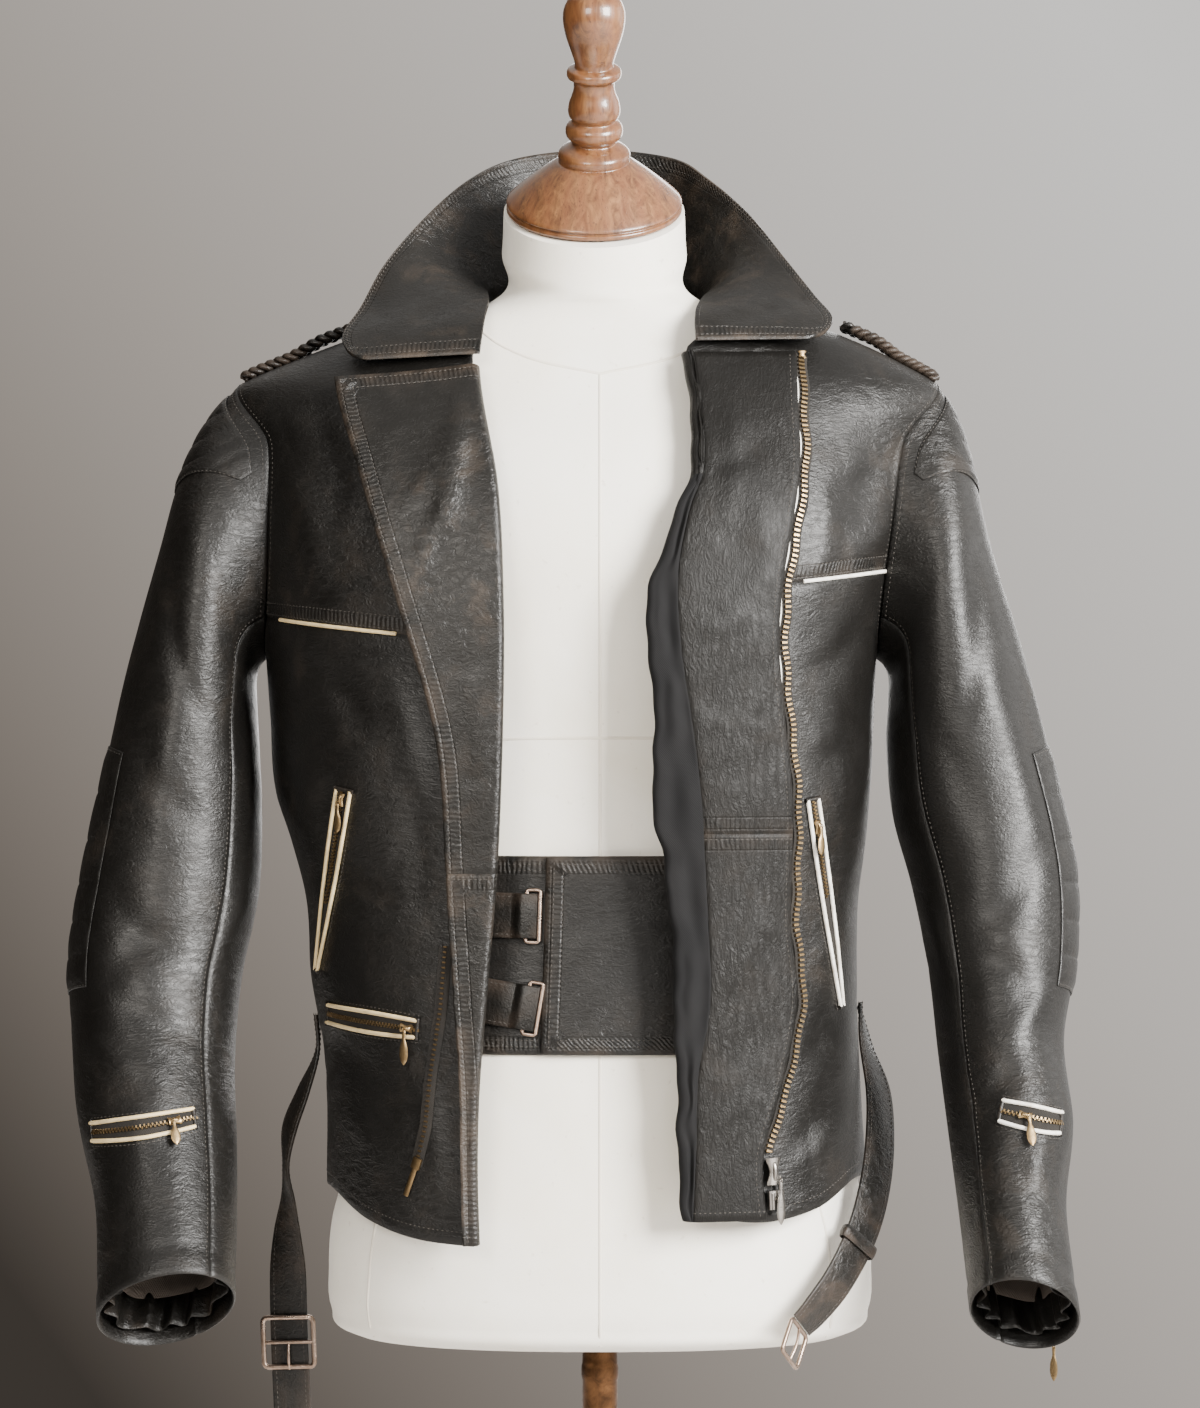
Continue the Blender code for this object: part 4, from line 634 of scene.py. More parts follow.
def leatherLook(name, base, rubbed, rough, crease, creaseScale, draw, rubs, shine=0.30):
    tree, at, join = startLook(name, Coat_Weight=0.15 * shine, Coat_Roughness=0.25, Specular_IOR_Level=shine)
    slow = noise(tree, at, 7.5, 4, 0.6)
    patchy = noise(tree, at, 38, 4, 0.6, 0.4)
    cells = addNode(tree, "TexVoronoi", 0, {"Vector": at, "Scale": 640.0, "Randomness": 0.95},
                    feature="SMOOTH_F1")
    drawn = noise(tree, stretch(tree, at, draw), creaseScale, 4, 0.62, 0.7)
    fold = calc(tree, "ABSOLUTE", calc(tree, "SUBTRACT", times(tree, drawn, 2.0), 1.0))
    creases = times(tree, calc(tree, "POWER", fold, 0.7), remap(tree, slow, 0.36, 0.62, 0.35, 1.0))
    hem = addNode(tree, "Attribute", 1, {}, attribute_name="hem")
    far, along = addNode(tree, "SeparateXYZ", 0, {0: hem}), addNode(tree, "SeparateXYZ", 1, {0: hem})
    band = times(tree, remap(tree, far, 0.0008, hemForm["first"]),
                remap(tree, far, hemForm["second"] + 0.0015, hemForm["second"] - 0.0015))
    turns = calc(tree, "ADD", times(tree, along, 2 * math.pi / hemForm["pitch"]),
                 times(tree, patchy, 14.0))
    pucker = times(tree, times(tree, calc(tree, "SINE", turns), band), 0.5)
    for line in ("first", "second"):
        off = calc(tree, "ABSOLUTE", calc(tree, "SUBTRACT", far, hemForm[line]))
        pucker = calc(tree, "SUBTRACT", pucker, remap(tree, off, 0.0, hemForm["line"], 1.0, 0.0))
    wear = addNode(tree, "Attribute", 2, {}, attribute_name="wear")
    rub = times(tree, wear, remap(tree, patchy, 0.40, 0.62))
    worn = times(tree, times(tree, remap(tree, patchy, 0.50, 0.70), rubs),
                remap(tree, slow, 0.42, 0.60))
    tone = tint(tree, remap(tree, slow, 0.35, 0.7), base, tuple(1.6 * c for c in base))
    join("Base Color", tint(tree, calc(tree, "MAXIMUM", times(tree, rub, 0.6), worn), tone, rubbed))
    gloss = calc(tree, "ADD", remap(tree, patchy, 0.3, 0.7, rough - 0.05, rough + 0.07), times(tree, rub, 0.12))
    join("Roughness", calc(tree, "ADD", gloss, times(tree, cells, 0.08)))
    under = bump(tree, noise(tree, at, 16, 1, 0.4), 0.5, 0.0016)
    under = bump(tree, creases, crease, 0.0011, under)
    under = bump(tree, pucker, 0.55, 0.0006, under)
    join("Normal", bump(tree, cells, 0.30, 0.0005, under))


deepBlack, warmBlack = (0.0042, 0.0038, 0.0033), (0.0050, 0.0045, 0.0038)
leatherLook("leather", deepBlack, (0.036, 0.026, 0.018), 0.37, 0.60, 95, (1.0, 1.0, 2.4), 0.25)
leatherLook("leatherFolded", warmBlack, (0.056, 0.040, 0.028), 0.34, 0.60, 130, (1.0, 1.0, 1.6), 0.45)
leatherLook("leatherDull", deepBlack, (0.030, 0.022, 0.016), 0.46, 0.75, 120, (2.0, 1.0, 0.7), 0.20, 0.17)
leatherLook("leatherStrap", warmBlack, (0.062, 0.042, 0.029), 0.34, 0.45, 160, (1.0, 1.0, 1.0), 0.5)


def liningLook(name, dark, light):  # twill: fine diagonal ridges over a soft unevenness
    tree, at, join = startLook(name, Roughness=0.9, Specular_IOR_Level=0.25)
    ribs = addNode(tree, "TexWave", 1, {"Vector": stretch(tree, at, (1, 1, 1), (0, 0.7, 0.2)), "Scale": 320.0,
                                        "Distortion": 1.2, "Detail": 2.0})
    uneven = noise(tree, at, 28, 5, 0.6)
    join("Base Color", tint(tree, times(tree, remap(tree, uneven, 0.35, 0.7), 0.8), dark, light))
    join("Normal", bump(tree, ribs, 0.4, 0.0004, bump(tree, uneven, 0.6, 0.002)))


liningLook("lining", (0.0028, 0.0028, 0.0032), (0.0062, 0.0059, 0.0062))
liningLook("innerLining", (0.060, 0.048, 0.040), (0.110, 0.092, 0.078))
liningLook("tape", (0.012, 0.011, 0.010), (0.026, 0.022, 0.018))

# Linen: warp and weft ridges, thicker slubs here and there, and a faint yellowing with age
tree, at, join = startLook("linen", Roughness=0.86, Sheen_Weight=0.2, Sheen_Roughness=0.6)
warp, weft = (addNode(tree, "TexWave", 1, {"Vector": at, "Scale": 620.0, "Distortion": 2.4, "Detail": 2.0},
                      bands_direction=way) for way in "XZ")
slubs = noise(tree, stretch(tree, at, (1.0, 1.0, 0.12)), 260, 3, 0.6)
age = noise(tree, at, 5.5, 5, 0.62, 0.5)
specks = remap(tree, noise(tree, at, 210, 2, 0.4), 0.70, 0.78)
tone = tint(tree, remap(tree, age, 0.38, 0.72), (0.86, 0.83, 0.76), (0.78, 0.73, 0.62))
tone = tint(tree, times(tree, calc(tree, "ADD", warp, weft), 0.03), tone, (0.55, 0.50, 0.42))
wear = addNode(tree, "Attribute", 2, {}, attribute_name="wear")
tone = tint(tree, times(tree, wear, 0.35), tone, (0.50, 0.42, 0.32))
join("Base Color", tint(tree, times(tree, specks, 0.3), tone, (0.42, 0.35, 0.26)))
weave = calc(tree, "ADD", calc(tree, "ADD", warp, weft), times(tree, slubs, 0.8))
join("Normal", bump(tree, weave, 0.22, 0.0003, bump(tree, age, 0.3, 0.003)))

# Walnut: long grain drawn out down the turning axis, pores along it, under a coat of varnish
tree, at, join = startLook("walnut", Coat_Weight=0.65, Coat_Roughness=0.12)
grain = noise(tree, stretch(tree, at, (1.0, 1.0, 0.16), (-0.49, 0, 0)), 120, 6, 0.65, 1.6)
rings = addNode(tree, "TexWave", 1, {"Vector": stretch(tree, at, (1.0, 1.0, 0.25), (-0.49, 0.15, 0)),
                                     "Scale": 26.0, "Distortion": 6.0, "Detail": 3.0, "Detail Scale": 1.4})
pores = remap(tree, noise(tree, stretch(tree, at, (1, 1, 0.06), (-0.49, 0, 0)), 900, 2, 0.5), 0.62, 0.72)
tone = tint(tree, remap(tree, grain, 0.32, 0.68), (0.060, 0.021, 0.008), (0.215, 0.094, 0.032))
tone = tint(tree, times(tree, rings, 0.45), tone, (0.150, 0.052, 0.019))
join("Base Color", tint(tree, times(tree, pores, 0.7), tone, (0.040, 0.014, 0.006)))
join("Roughness", remap(tree, grain, 0.3, 0.7, 0.30, 0.44))
join("Normal", bump(tree, calc(tree, "SUBTRACT", grain, pores), 0.2, 0.0004))


def metalLook(name, bright, dull, rough, scratch=0.25, metallic=1.0):  # patina in clouds, scratches along
    tree, at, join = startLook(name, Metallic=metallic)
    cloud = noise(tree, at, 95, 5, 0.65, 0.5)
    fine = noise(tree, stretch(tree, at, (1.0, 1.0, 0.08)), 1400, 2, 0.5)
    join("Base Color", tint(tree, remap(tree, cloud, 0.36, 0.68), bright, dull))
    join("Roughness", calc(tree, "ADD", remap(tree, cloud, 0.3, 0.7, rough - 0.08, rough + 0.14),
                           times(tree, fine, 0.08)))
    join("Normal", bump(tree, fine, scratch, 0.0002, bump(tree, cloud, 0.2, 0.0005)))


metalLook("brass", (0.347, 0.248, 0.130), (0.149, 0.096, 0.046), 0.34)
metalLook("oldBrass", (0.186, 0.124, 0.062), (0.074, 0.050, 0.025), 0.40)
metalLook("copper", (0.384, 0.291, 0.236), (0.205, 0.143, 0.105), 0.26)
metalLook("nickel", (0.372, 0.353, 0.329), (0.205, 0.186, 0.167), 0.26)
metalLook("bronze", (0.143, 0.071, 0.032), (0.053, 0.028, 0.015), 0.33)
metalLook("iron", (0.019, 0.017, 0.016), (0.007, 0.007, 0.007), 0.46, 0.4, 0.6)

# Piping: cream leather, darker and yellower on the wearer's right and whiter on the left
tree, at, join = startLook("piping", Roughness=0.5)
sideways = addNode(tree, "SeparateXYZ", 0, {0: at})
soil = noise(tree, at, 130, 4, 0.6)
tone = tint(tree, remap(tree, sideways, -0.06, 0.06), (0.64, 0.50, 0.27), (0.80, 0.78, 0.72))
join("Base Color", tint(tree, times(tree, remap(tree, soil, 0.45, 0.75), 0.6), tone, (0.30, 0.22, 0.13)))
join("Normal", bump(tree, soil, 0.3, 0.0004))

tree, at, join = startLook("thread", Roughness=0.7, Sheen_Weight=0.1)
strands = noise(tree, at, 1500, 2, 0.5)
join("Base Color", tint(tree, strands, (0.016, 0.014, 0.012), (0.060, 0.050, 0.040)))
join("Normal", bump(tree, strands, 0.5, 0.0002))

tree, at, join = startLook("floor", Roughness=0.9)
cloud = noise(tree, at, 1.2, 3, 0.5)
join("Base Color", tint(tree, cloud, (0.60, 0.575, 0.55), (0.64, 0.615, 0.59)))


def closedRings(rings, wear):  # a raw surface of level rings with a face over each end
    rows, columns = rings.shape[:2]
    ends = [list(range(columns)), list(range((rows - 1) * columns, rows * columns))]
    return rings.reshape(-1, 3), gridFaces(rows, columns, True).tolist() + ends, wear, None


# A turned form: rings of a profile of radius and height, with its ends closed
def lathe(profile, steps, place=(0, 0, 0), tilt=0.0, soften=0):
    profile = np.array(profile, dtype=float)
    for _ in range(soften):  # cuts each corner at a quarter and three quarters of its sides
        ahead, behind = 0.75 * profile[:-1] + 0.25 * profile[1:], 0.25 * profile[:-1] + 0.75 * profile[1:]
        middle = np.stack([ahead, behind], axis=1).reshape(-1, 2)
        profile = np.concatenate([profile[:1], middle, profile[-1:]])
    radius, height = np.maximum(profile[:, 0], 0.0004), profile[:, 1]
    turn = np.linspace(0, 2 * math.pi, steps, endpoint=False)
    x, y = radius[:, None] * np.cos(turn), radius[:, None] * np.sin(turn)
    z = np.broadcast_to(height[:, None], x.shape)
    points = np.stack([x, y * math.cos(tilt) - z * math.sin(tilt), y * math.sin(tilt) + z * math.cos(tilt)], -1)
    return closedRings(points + np.array(place), np.full(x.size, 0.2))


floorDisc = makePiece("floor", [lathe([(0.0, -0.0004), (3.7, -0.0004), (3.7, -0.02), (0.0, -0.02)], 128)],
                      "floor")

# The dress form: level sections that lean forward up the neck, with its seams as low welts
formSizes = {"low": 0.740, "neckTop": 1.508, "capShift": -0.004, "neckSlant": math.radians(28.0),
             "welt": 0.0011, "weltHeight": 0.0005}


def formSurface(turn, z):
    point = formPoint(turn, z)
    point[..., 0] += formSizes["capShift"] * np.clip((z - 1.40) / 0.08, 0, 1)
    return point


heights = np.concatenate([np.linspace(formSizes["low"], 0.756, 9), np.linspace(0.756, 1.40, 120)[1:],
                          np.linspace(1.40, formSizes["neckTop"], 44)[1:]])
turns = np.linspace(0, 2 * math.pi, 128, endpoint=False)
formRaws = [closedRings(formSurface(turns[None], heights[:, None]), np.zeros(len(heights) * 128))]


def formWelt(turn, z, closed=False):
    path = formSurface(turn, z)
    formRaws.append(tube(path, normalOf(formSurface, turn, z), formSizes["welt"], formSizes["weltHeight"], 8,
                         closed, wear=1.0))


for middle in (0.0, math.pi):
    z = np.linspace(0.745, 1.3896 if middle == 0 else 1.43, 90)
    formWelt(np.full(90, middle), z)
around = np.linspace(0, 2 * math.pi, 160, endpoint=False)
formWelt(around, 1.136 + 0.0105 * np.cos(around), True)
neckSeam = rowTable("turn z", (0, 1.3905), (0.25, 1.401), (0.5, 1.4205), (0.73, 1.4292), (1.1, 1.437),
                    (1.57, 1.4385), (2.2, 1.437), (3.15, 1.436))
fromFront = np.abs((around + math.pi) % (2 * math.pi) - math.pi)
formWelt(around, through(neckSeam["turn"], neckSeam["z"], fromFront), True)
for side in (-1, 1):  # the side panels' seams, from chest to hip
    z = np.linspace(0.745, 1.30, 80)
    formWelt(np.full(80, side * 0.95) - side * 0.10 * np.sin((z - 0.745) / 0.555 * math.pi), z)
makePiece("dress_form", formRaws, "linen", hides=["form_torso"])

capProfile = (
    (0.0, 0.1590), (0.0090, 0.1575), (0.0165, 0.1530), (0.0206, 0.1450), (0.0213, 0.1370),
    (0.0196, 0.1265), (0.0150, 0.1130), (0.0124, 0.1040), (0.0150, 0.1034), (0.0186, 0.1018), (0.0186, 0.0966),
    (0.0150, 0.0950), (0.0140, 0.0935), (0.0138, 0.0870), (0.0176, 0.0780), (0.0180, 0.0700), (0.0150, 0.0665),
    (0.0150, 0.0655), (0.0196, 0.0620), (0.0196, 0.0550), (0.0150, 0.0510), (0.0150, 0.0495), (0.0247, 0.0440),
    (0.0247, 0.0385), (0.0240, 0.0368), (0.0262, 0.0360), (0.0420, 0.0240), (0.0598, 0.0085), (0.0607, 0.0066),
    (0.0580, 0.0052), (0.0607, 0.0040), (0.0600, 0.0), (0.0, 0.0))
capPlace = np.array([formSizes["capShift"], 0, formSizes["neckTop"]]) + cut["seam"] * np.array(
    [0, -math.sin(formSizes["neckSlant"]), math.cos(formSizes["neckSlant"])])
makePiece("turned_cap", [lathe(capProfile, 96, capPlace, formSizes["neckSlant"], 2)], "walnut",
          hides=["form_cap"], smoothAngle=70)
makePiece("pole", [lathe([(0.0, 0.7397), (0.0120, 0.7397), (0.0120, 0.716), (0.0128, 0.714), (0.0128, 0.706),
                          (0.0120, 0.704), (0.0120, 0.0243), (0.0, 0.0243)], 48, soften=1)],
          "bronze", hides=["stand_pole"])
makePiece("base", [lathe([(0.0, 0.0240), (0.022, 0.0240), (0.024, 0.022), (0.024, 0.016), (0.060, 0.015),
                          (0.136, 0.012), (0.147, 0.009), (0.150, 0.004), (0.150, 0.0), (0.0, 0.0)], 96,
                         soften=2)],
          "iron", hides=["stand_base"])
print("form, cap, pole and base made")

# The fronts and the back: the body's section between the fold and the side, cut in two at the yoke seam
bodyPanels = {"rowsBelow": 90, "rowsAtArmhole": 56, "rowsAbove": 13, "frontColumns": 78, "backColumns": 122,
              "hemFade": 0.10, "dip": 0.019, "dipSpread": 0.06, "seamDepth": 0.0008, "seamWidth": 0.0022}
panels = {}


def leatherPanel(name, points, normals, thickness, look="leather", hems=()):
    panels[name] = {"points": points, "normals": normals}
    return makePiece(f"{name}_leather", [shell(points, normals, thickness, hems=hems)], look, hides=[name])


def bodyRows():
    count = bodyPanels["rowsBelow"]
    return np.concatenate([np.linspace(cut["bodyLow"], cut["armpit"], count + 1)[:-1],
                           armholeHeight(np.linspace(math.pi, 0, bodyPanels["rowsAtArmhole"] + 1)),
                           np.linspace(cut["shoulderTip"], cut["bodyTop"], bodyPanels["rowsAbove"] + 1)[1:]])


def yokeRowOf(side):
    return bodyPanels["rowsBelow"] + bodyPanels["rowsAtArmhole"] // 8 * cut["yokeStep"][side]


def frontHeights(side, rows, along):
    hemLine = through(hem["along"], hem["left" if side > 0 else "right"], along)
    nearHem = np.clip(1 - (rows - rows[0]) / bodyPanels["hemFade"], 0, 1)
    z = rows[:, None] + (hemLine - rows[0])[None] * nearHem[:, None]
    dip = -bodyPanels["dip"] * np.exp(-((rows - rows[yokeRowOf(side)]) / bodyPanels["dipSpread"])**2)
    return z + (dip * (rows < cut["shoulderTip"] - 0.01))[:, None] * (1 - along)[None]**1.2


def frontInnerX(side, z):
    edge = leftEdge if side > 0 else rightEdge
    fold = through(edge["z"], edge["fold"], z) + side * 0.0042
    neck = through(neckEdge["z"], neckEdge["left" if side > 0 else "right"], z)
    return fold + (neck - fold) * ease((z - 1.403) / 0.014)


# Main creases listed one by one, as x and z at both ends, depth and width; small ones scattered after them
frontCreases = {
    -1: [(-0.205, 1.205, -0.150, 1.150, -0.0034, 0.011), (-0.214, 1.170, -0.165, 1.085, -0.0030, 0.012),
         (-0.213, 1.330, -0.185, 1.255, 0.0030, 0.012), (-0.190, 1.370, -0.160, 1.290, -0.0022, 0.013),
         (-0.225, 1.255, -0.180, 1.235, -0.0022, 0.009), (-0.140, 1.200, -0.112, 1.090, 0.0022, 0.015),
         (-0.200, 1.060, -0.130, 1.035, -0.0026, 0.010), (-0.195, 1.035, -0.110, 1.020, 0.0018, 0.009),
         (-0.130, 1.130, -0.115, 1.030, -0.0024, 0.012), (-0.190, 0.950, -0.130, 0.895, -0.0026, 0.013),
         (-0.120, 0.930, -0.104, 0.850, 0.0022, 0.010), (-0.178, 0.900, -0.135, 0.860, 0.0018, 0.011),
         (-0.205, 1.120, -0.190, 1.010, 0.0020, 0.010), (-0.150, 1.345, -0.175, 1.270, 0.0016, 0.010)]
        + scatter(11, 40, (-0.225, 0.85, -0.105, 1.38), (0.018, 0.055), 62, 30, 0.0006, 0.0040),
    1: [(0.205, 1.345, 0.150, 1.300, -0.0030, 0.011), (0.208, 1.300, 0.145, 1.265, 0.0026, 0.010),
        (0.185, 1.370, 0.150, 1.240, -0.0020, 0.013), (0.180, 1.225, 0.135, 1.185, -0.0026, 0.010),
        (0.188, 1.190, 0.142, 1.120, -0.0030, 0.012), (0.178, 1.150, 0.135, 1.150, 0.0018, 0.009),
        (0.175, 1.085, 0.130, 1.055, -0.0022, 0.010), (0.170, 1.030, 0.125, 0.990, 0.0020, 0.011),
        (0.172, 0.975, 0.128, 0.935, -0.0028, 0.012), (0.165, 0.925, 0.122, 0.870, -0.0022, 0.011),
        (0.145, 1.340, 0.140, 1.235, 0.0018, 0.009), (0.160, 0.895, 0.125, 0.862, 0.0016, 0.008)]
        + scatter(12, 40, (0.125, 0.86, 0.215, 1.38), (0.018, 0.055), 118, 30, 0.0006, 0.0040)}


def makeFront(side, word):
    rows, along = bodyRows(), np.linspace(0, 1, bodyPanels["frontColumns"])
    z = frontHeights(side, rows, along)
    start = turnAtX(frontInnerX(side, z), z)
    end = sideTurn(side, 1, np.broadcast_to(rows[:, None], z.shape))
    turn = start + (end - start) * along[None]
    seamRow = yokeRowOf(side)
    edge = leftEdge if side > 0 else rightEdge
    pieces = {}
    for part, rowsOf in (("lower", slice(0, seamRow + 1)), ("yoke", slice(seamRow, None))):
        partTurn, partZ = turn[rowsOf], z[rowsOf].copy()
        partZ[-1 if part == "lower" else 0] += cut["seam"] / 2 * (-1 if part == "lower" else 1)
        points, normals = bodyPoint(partTurn, partZ), normalOf(bodyPoint, partTurn, partZ)
        free = through(edge["z"], edge["free"], points[..., 2])
        clear = ease((np.abs(points[..., 0]) - np.abs(free) - 0.006) / 0.02)
        top = ease((1.43 - points[..., 2]) / 0.05)
        sides = edgeFade(len(partZ), len(along), 0.02, 0.05)
        lift = creased(points[..., 0], points[..., 2], frontCreases[side]) * clear * top * sides
        lift -= bodyPanels["seamDepth"] * np.exp(-(np.arange(len(partZ))[::-1 if part == "lower" else 1]
                                                   * 0.004 / bodyPanels["seamWidth"])**2)[:, None]
        points = points + normals * lift[..., None]
        pieces[part] = leatherPanel(f"front_{word}_{part}", points, normals, cut["leather"],
                                    hems=("low",) if part == "yoke" else ())
    return pieces


fronts = {word: makeFront(side, word) for side, word in sides}

backCreases = [  # along is u in metres across the back from the left side seam, up is z
    (0.045, 1.300, 0.105, 1.215, -0.0034, 0.013), (0.040, 1.240, 0.110, 1.180, -0.0026, 0.012),
    (0.455, 1.310, 0.390, 1.225, -0.0032, 0.013), (0.462, 1.245, 0.385, 1.175, -0.0026, 0.012),
    (0.080, 1.370, 0.110, 1.270, 0.0024, 0.014), (0.425, 1.365, 0.395, 1.275, 0.0026, 0.014),
    (0.060, 1.060, 0.200, 1.035, -0.0034, 0.010), (0.300, 1.045, 0.450, 1.070, -0.0030, 0.010),
    (0.110, 1.015, 0.290, 1.005, 0.0024, 0.010), (0.070, 0.985, 0.170, 0.965, -0.0026, 0.010),
    (0.330, 0.975, 0.440, 0.995, -0.0026, 0.010), (0.150, 1.090, 0.260, 1.080, -0.0018, 0.011),
    (0.280, 1.110, 0.400, 1.130, 0.0018, 0.012), (0.190, 1.180, 0.215, 1.060, 0.0016, 0.016),
    (0.300, 1.190, 0.285, 1.070, 0.0016, 0.016), (0.120, 0.930, 0.145, 0.860, 0.0022, 0.013),
    (0.370, 0.925, 0.355, 0.858, -0.0020, 0.013)] + scatter(
        13, 80, (0.03, 0.86, 0.48, 1.40), (0.02, 0.07), 20, 40, 0.0009, 0.0045)


def makeBack():
    rows, along = bodyRows(), np.linspace(0, 1, bodyPanels["backColumns"])
    z = np.repeat(rows[:, None], len(along), axis=1)
    start, end = sideTurn(1, -1, rows)[:, None], sideTurn(-1, -1, rows)[:, None] + 2 * math.pi
    turn = start + (end - start) * along[None]
    neckRise = cut["backNeckRise"] * np.interp(rows, [1.417, 1.431, 1.441], [0, 0.45, 1.0])
    z = z + neckRise[:, None] * np.sin(math.pi * along)[None]
    points, normals = bodyPoint(turn, z), normalOf(bodyPoint, turn, z)
    across = 0.5 * along[None] * np.ones_like(z)
    fade = edgeFade(len(rows), len(along), 0.03, 0.03)
    lift = creased(across, z, backCreases) * fade
    for seamZ in cut["backSeams"]:
        lift -= 0.0010 * np.exp(-((z - seamZ) / bodyPanels["seamWidth"])**2)
    points = points + normals * lift[..., None]
    return leatherPanel("back", points, normals, cut["leather"], hems=("low",))


back = makeBack()
print("fronts and back made")


# Facings: a flat part, a fold round the front's edge, and a return inside
turned = {"flatSteps": 20, "rollSteps": 9, "returnSteps": 5, "rowStep": 0.0042, "lapelSpring": 0.0070}
foldRadius = cut["leather"] / 2 + cut["turnGap"] + cut["facing"]


def turnedSection(side, level, freeX, foldX, returnLength, spring, rise=0.0, relief=None):
    climb = rise * np.linspace(0, 1, len(level))**4
    rollX = foldX + side * foldRadius
    columns = []
    for share in np.linspace(0, 1, turned["flatSteps"] + 1):
        z = level + climb * share
        x = freeX + (rollX - freeX) * share
        lift = cut["turnGap"] + cut["facing"] + spring * (1 - share)**2 + cut["chestSpring"] * np.clip(
            (z - 1.22) / 0.1, 0, 1)
        turn = turnAtX(x, z)
        if relief is not None:
            lift = lift + relief(x, z, share) * (1 - share**6)
        columns.append(bodyPoint(turn, z) + normalOf(bodyPoint, turn, z) * lift[:, None])
    turn = turnAtX(rollX, z)
    out = normalOf(bodyPoint, turn, z)
    inward = unit(np.cross(out, [0.0, 0.0, 1.0])) * -side
    inward = np.where((inward[:, :1] * -side) > 0, inward, -inward)
    centre = bodyPoint(turn, z) - out * cut["leather"] / 2
    over = np.linalg.norm(columns[-1] - centre, axis=1) - foldRadius
    for angle in np.linspace(0, math.pi, turned["rollSteps"] + 1)[1:]:
        radius = (foldRadius + over * (1 + math.cos(angle)) / 2)[:, None]
        columns.append(centre + (out * math.cos(angle) + inward * math.sin(angle)) * radius)
    for share in np.linspace(0, 1, turned["returnSteps"] + 1)[1:]:
        turn = turnAtX(rollX + side * returnLength * share, z)
        sunk = foldRadius + cut["leather"] / 2 + 0.0004
        columns.append(bodyPoint(turn, z) - normalOf(bodyPoint, turn, z) * sunk)
    return np.stack(columns, axis=1)


def outwardOf(points):
    normals = gridNormals(points)
    return normals if normals[:, :4, 1].mean() < 0 else -normals


def rowsBetween(low, high):
    return np.linspace(low, high, int((high - low) / turned["rowStep"]) + 1)


facingCreases = {
    -1: [(-0.095, 1.355, -0.130, 1.290, 0.0022, 0.008), (-0.112, 1.300, -0.100, 1.230, -0.0022, 0.007),
         (-0.072, 1.340, -0.100, 1.320, -0.0018, 0.005), (-0.070, 1.300, -0.105, 1.275, -0.0020, 0.005),
         (-0.068, 1.255, -0.100, 1.245, -0.0020, 0.005), (-0.068, 1.205, -0.100, 1.190, -0.0016, 0.006),
         (-0.0905, 1.392, -0.120, 1.245, 0.0044, 0.0085), (-0.085, 1.200, -0.082, 1.080, 0.0016, 0.009),
         (-0.070, 1.130, -0.092, 1.115, -0.0014, 0.005), (-0.074, 1.020, -0.090, 1.005, -0.0012, 0.005),
         (-0.082, 1.050, -0.083, 0.940, 0.0012, 0.007), (-0.120, 1.370, -0.150, 1.360, -0.0014, 0.007)]
        + scatter(21, 46, (-0.14, 0.83, -0.07, 1.37), (0.010, 0.034), 8, 28, 0.0008, 0.0032),
    1: [(0.085, 1.385, 0.078, 1.280, 0.0018, 0.009), (0.115, 1.350, 0.070, 1.320, -0.0018, 0.007),
        (0.110, 1.270, 0.062, 1.245, -0.0020, 0.007), (0.100, 1.235, 0.060, 1.215, 0.0014, 0.007),
        (0.108, 1.200, 0.066, 1.165, -0.0018, 0.008), (0.112, 1.140, 0.075, 1.120, -0.0016, 0.007),
        (0.105, 1.050, 0.080, 0.980, 0.0018, 0.009), (0.110, 0.960, 0.075, 0.930, -0.0016, 0.008),
        (0.096, 0.900, 0.068, 0.870, -0.0014, 0.007), (0.098, 1.340, 0.096, 1.230, 0.0014, 0.010)]
        + scatter(22, 46, (0.06, 0.845, 0.118, 1.39), (0.010, 0.036), 172, 28, 0.0007, 0.0032)}


def facingRelief(side):
    return lambda x, z, share: (np.maximum(creased(x, z, facingCreases[side]), -0.0006)
                                * ease(share / 0.06 + 0.15))


def makeRightFacing(part, low, high, rise):
    z = rowsBetween(low, high)
    free, fold = through(rightEdge["z"], rightEdge["free"], z), through(rightEdge["z"], rightEdge["fold"], z)
    spring = cut["facingSpring"] + (turned["lapelSpring"] * ease((z - 1.08) / 0.2) if rise else 0.0)
    points = turnedSection(-1, z, free, fold, 0.016, spring, rise, facingRelief(-1))
    return leatherPanel(f"facing_right_{part}", points, outwardOf(points), cut["facing"], "leatherFolded",
                        ("first", "high"))


def makeLeftFacing(part, low, high):
    z = rowsBetween(low, high)
    free = through(leftEdge["z"], leftEdge["free"], z)
    seamX = through(leftEdge["z"], leftEdge["seam"], z) + cut["seam"] / 2
    columns = []
    for share in np.linspace(0, 1, 22):
        x = free + (seamX - free) * share
        turn = turnAtX(x, z)
        lift = cut["turnGap"] + cut["facing"] + cut["facingSpring"] * (1 - share)**2
        lift = lift + facingRelief(1)(x, z, share) - 0.0007 * math.exp(-((1 - share) / 0.05)**2)
        columns.append(bodyPoint(turn, z) + normalOf(bodyPoint, turn, z) * lift[:, None])
    points = np.stack(columns, axis=1)
    return leatherPanel(f"facing_left_{part}", points, outwardOf(points), cut["facing"], "leatherDull",
                        ("high",) if part == "lower" else ("low",))


lowR, waistR, topR = cut["rightFacing"]
lowL, waistL, topL = cut["leftFacing"]
facings = [makeRightFacing("lower", lowR, waistR, 0.0),
           makeRightFacing("upper", waistR + cut["seam"], topR, cut["lapelRise"]),
           makeLeftFacing("lower", lowL, waistL), makeLeftFacing("upper", waistL + cut["seam"], topL)]


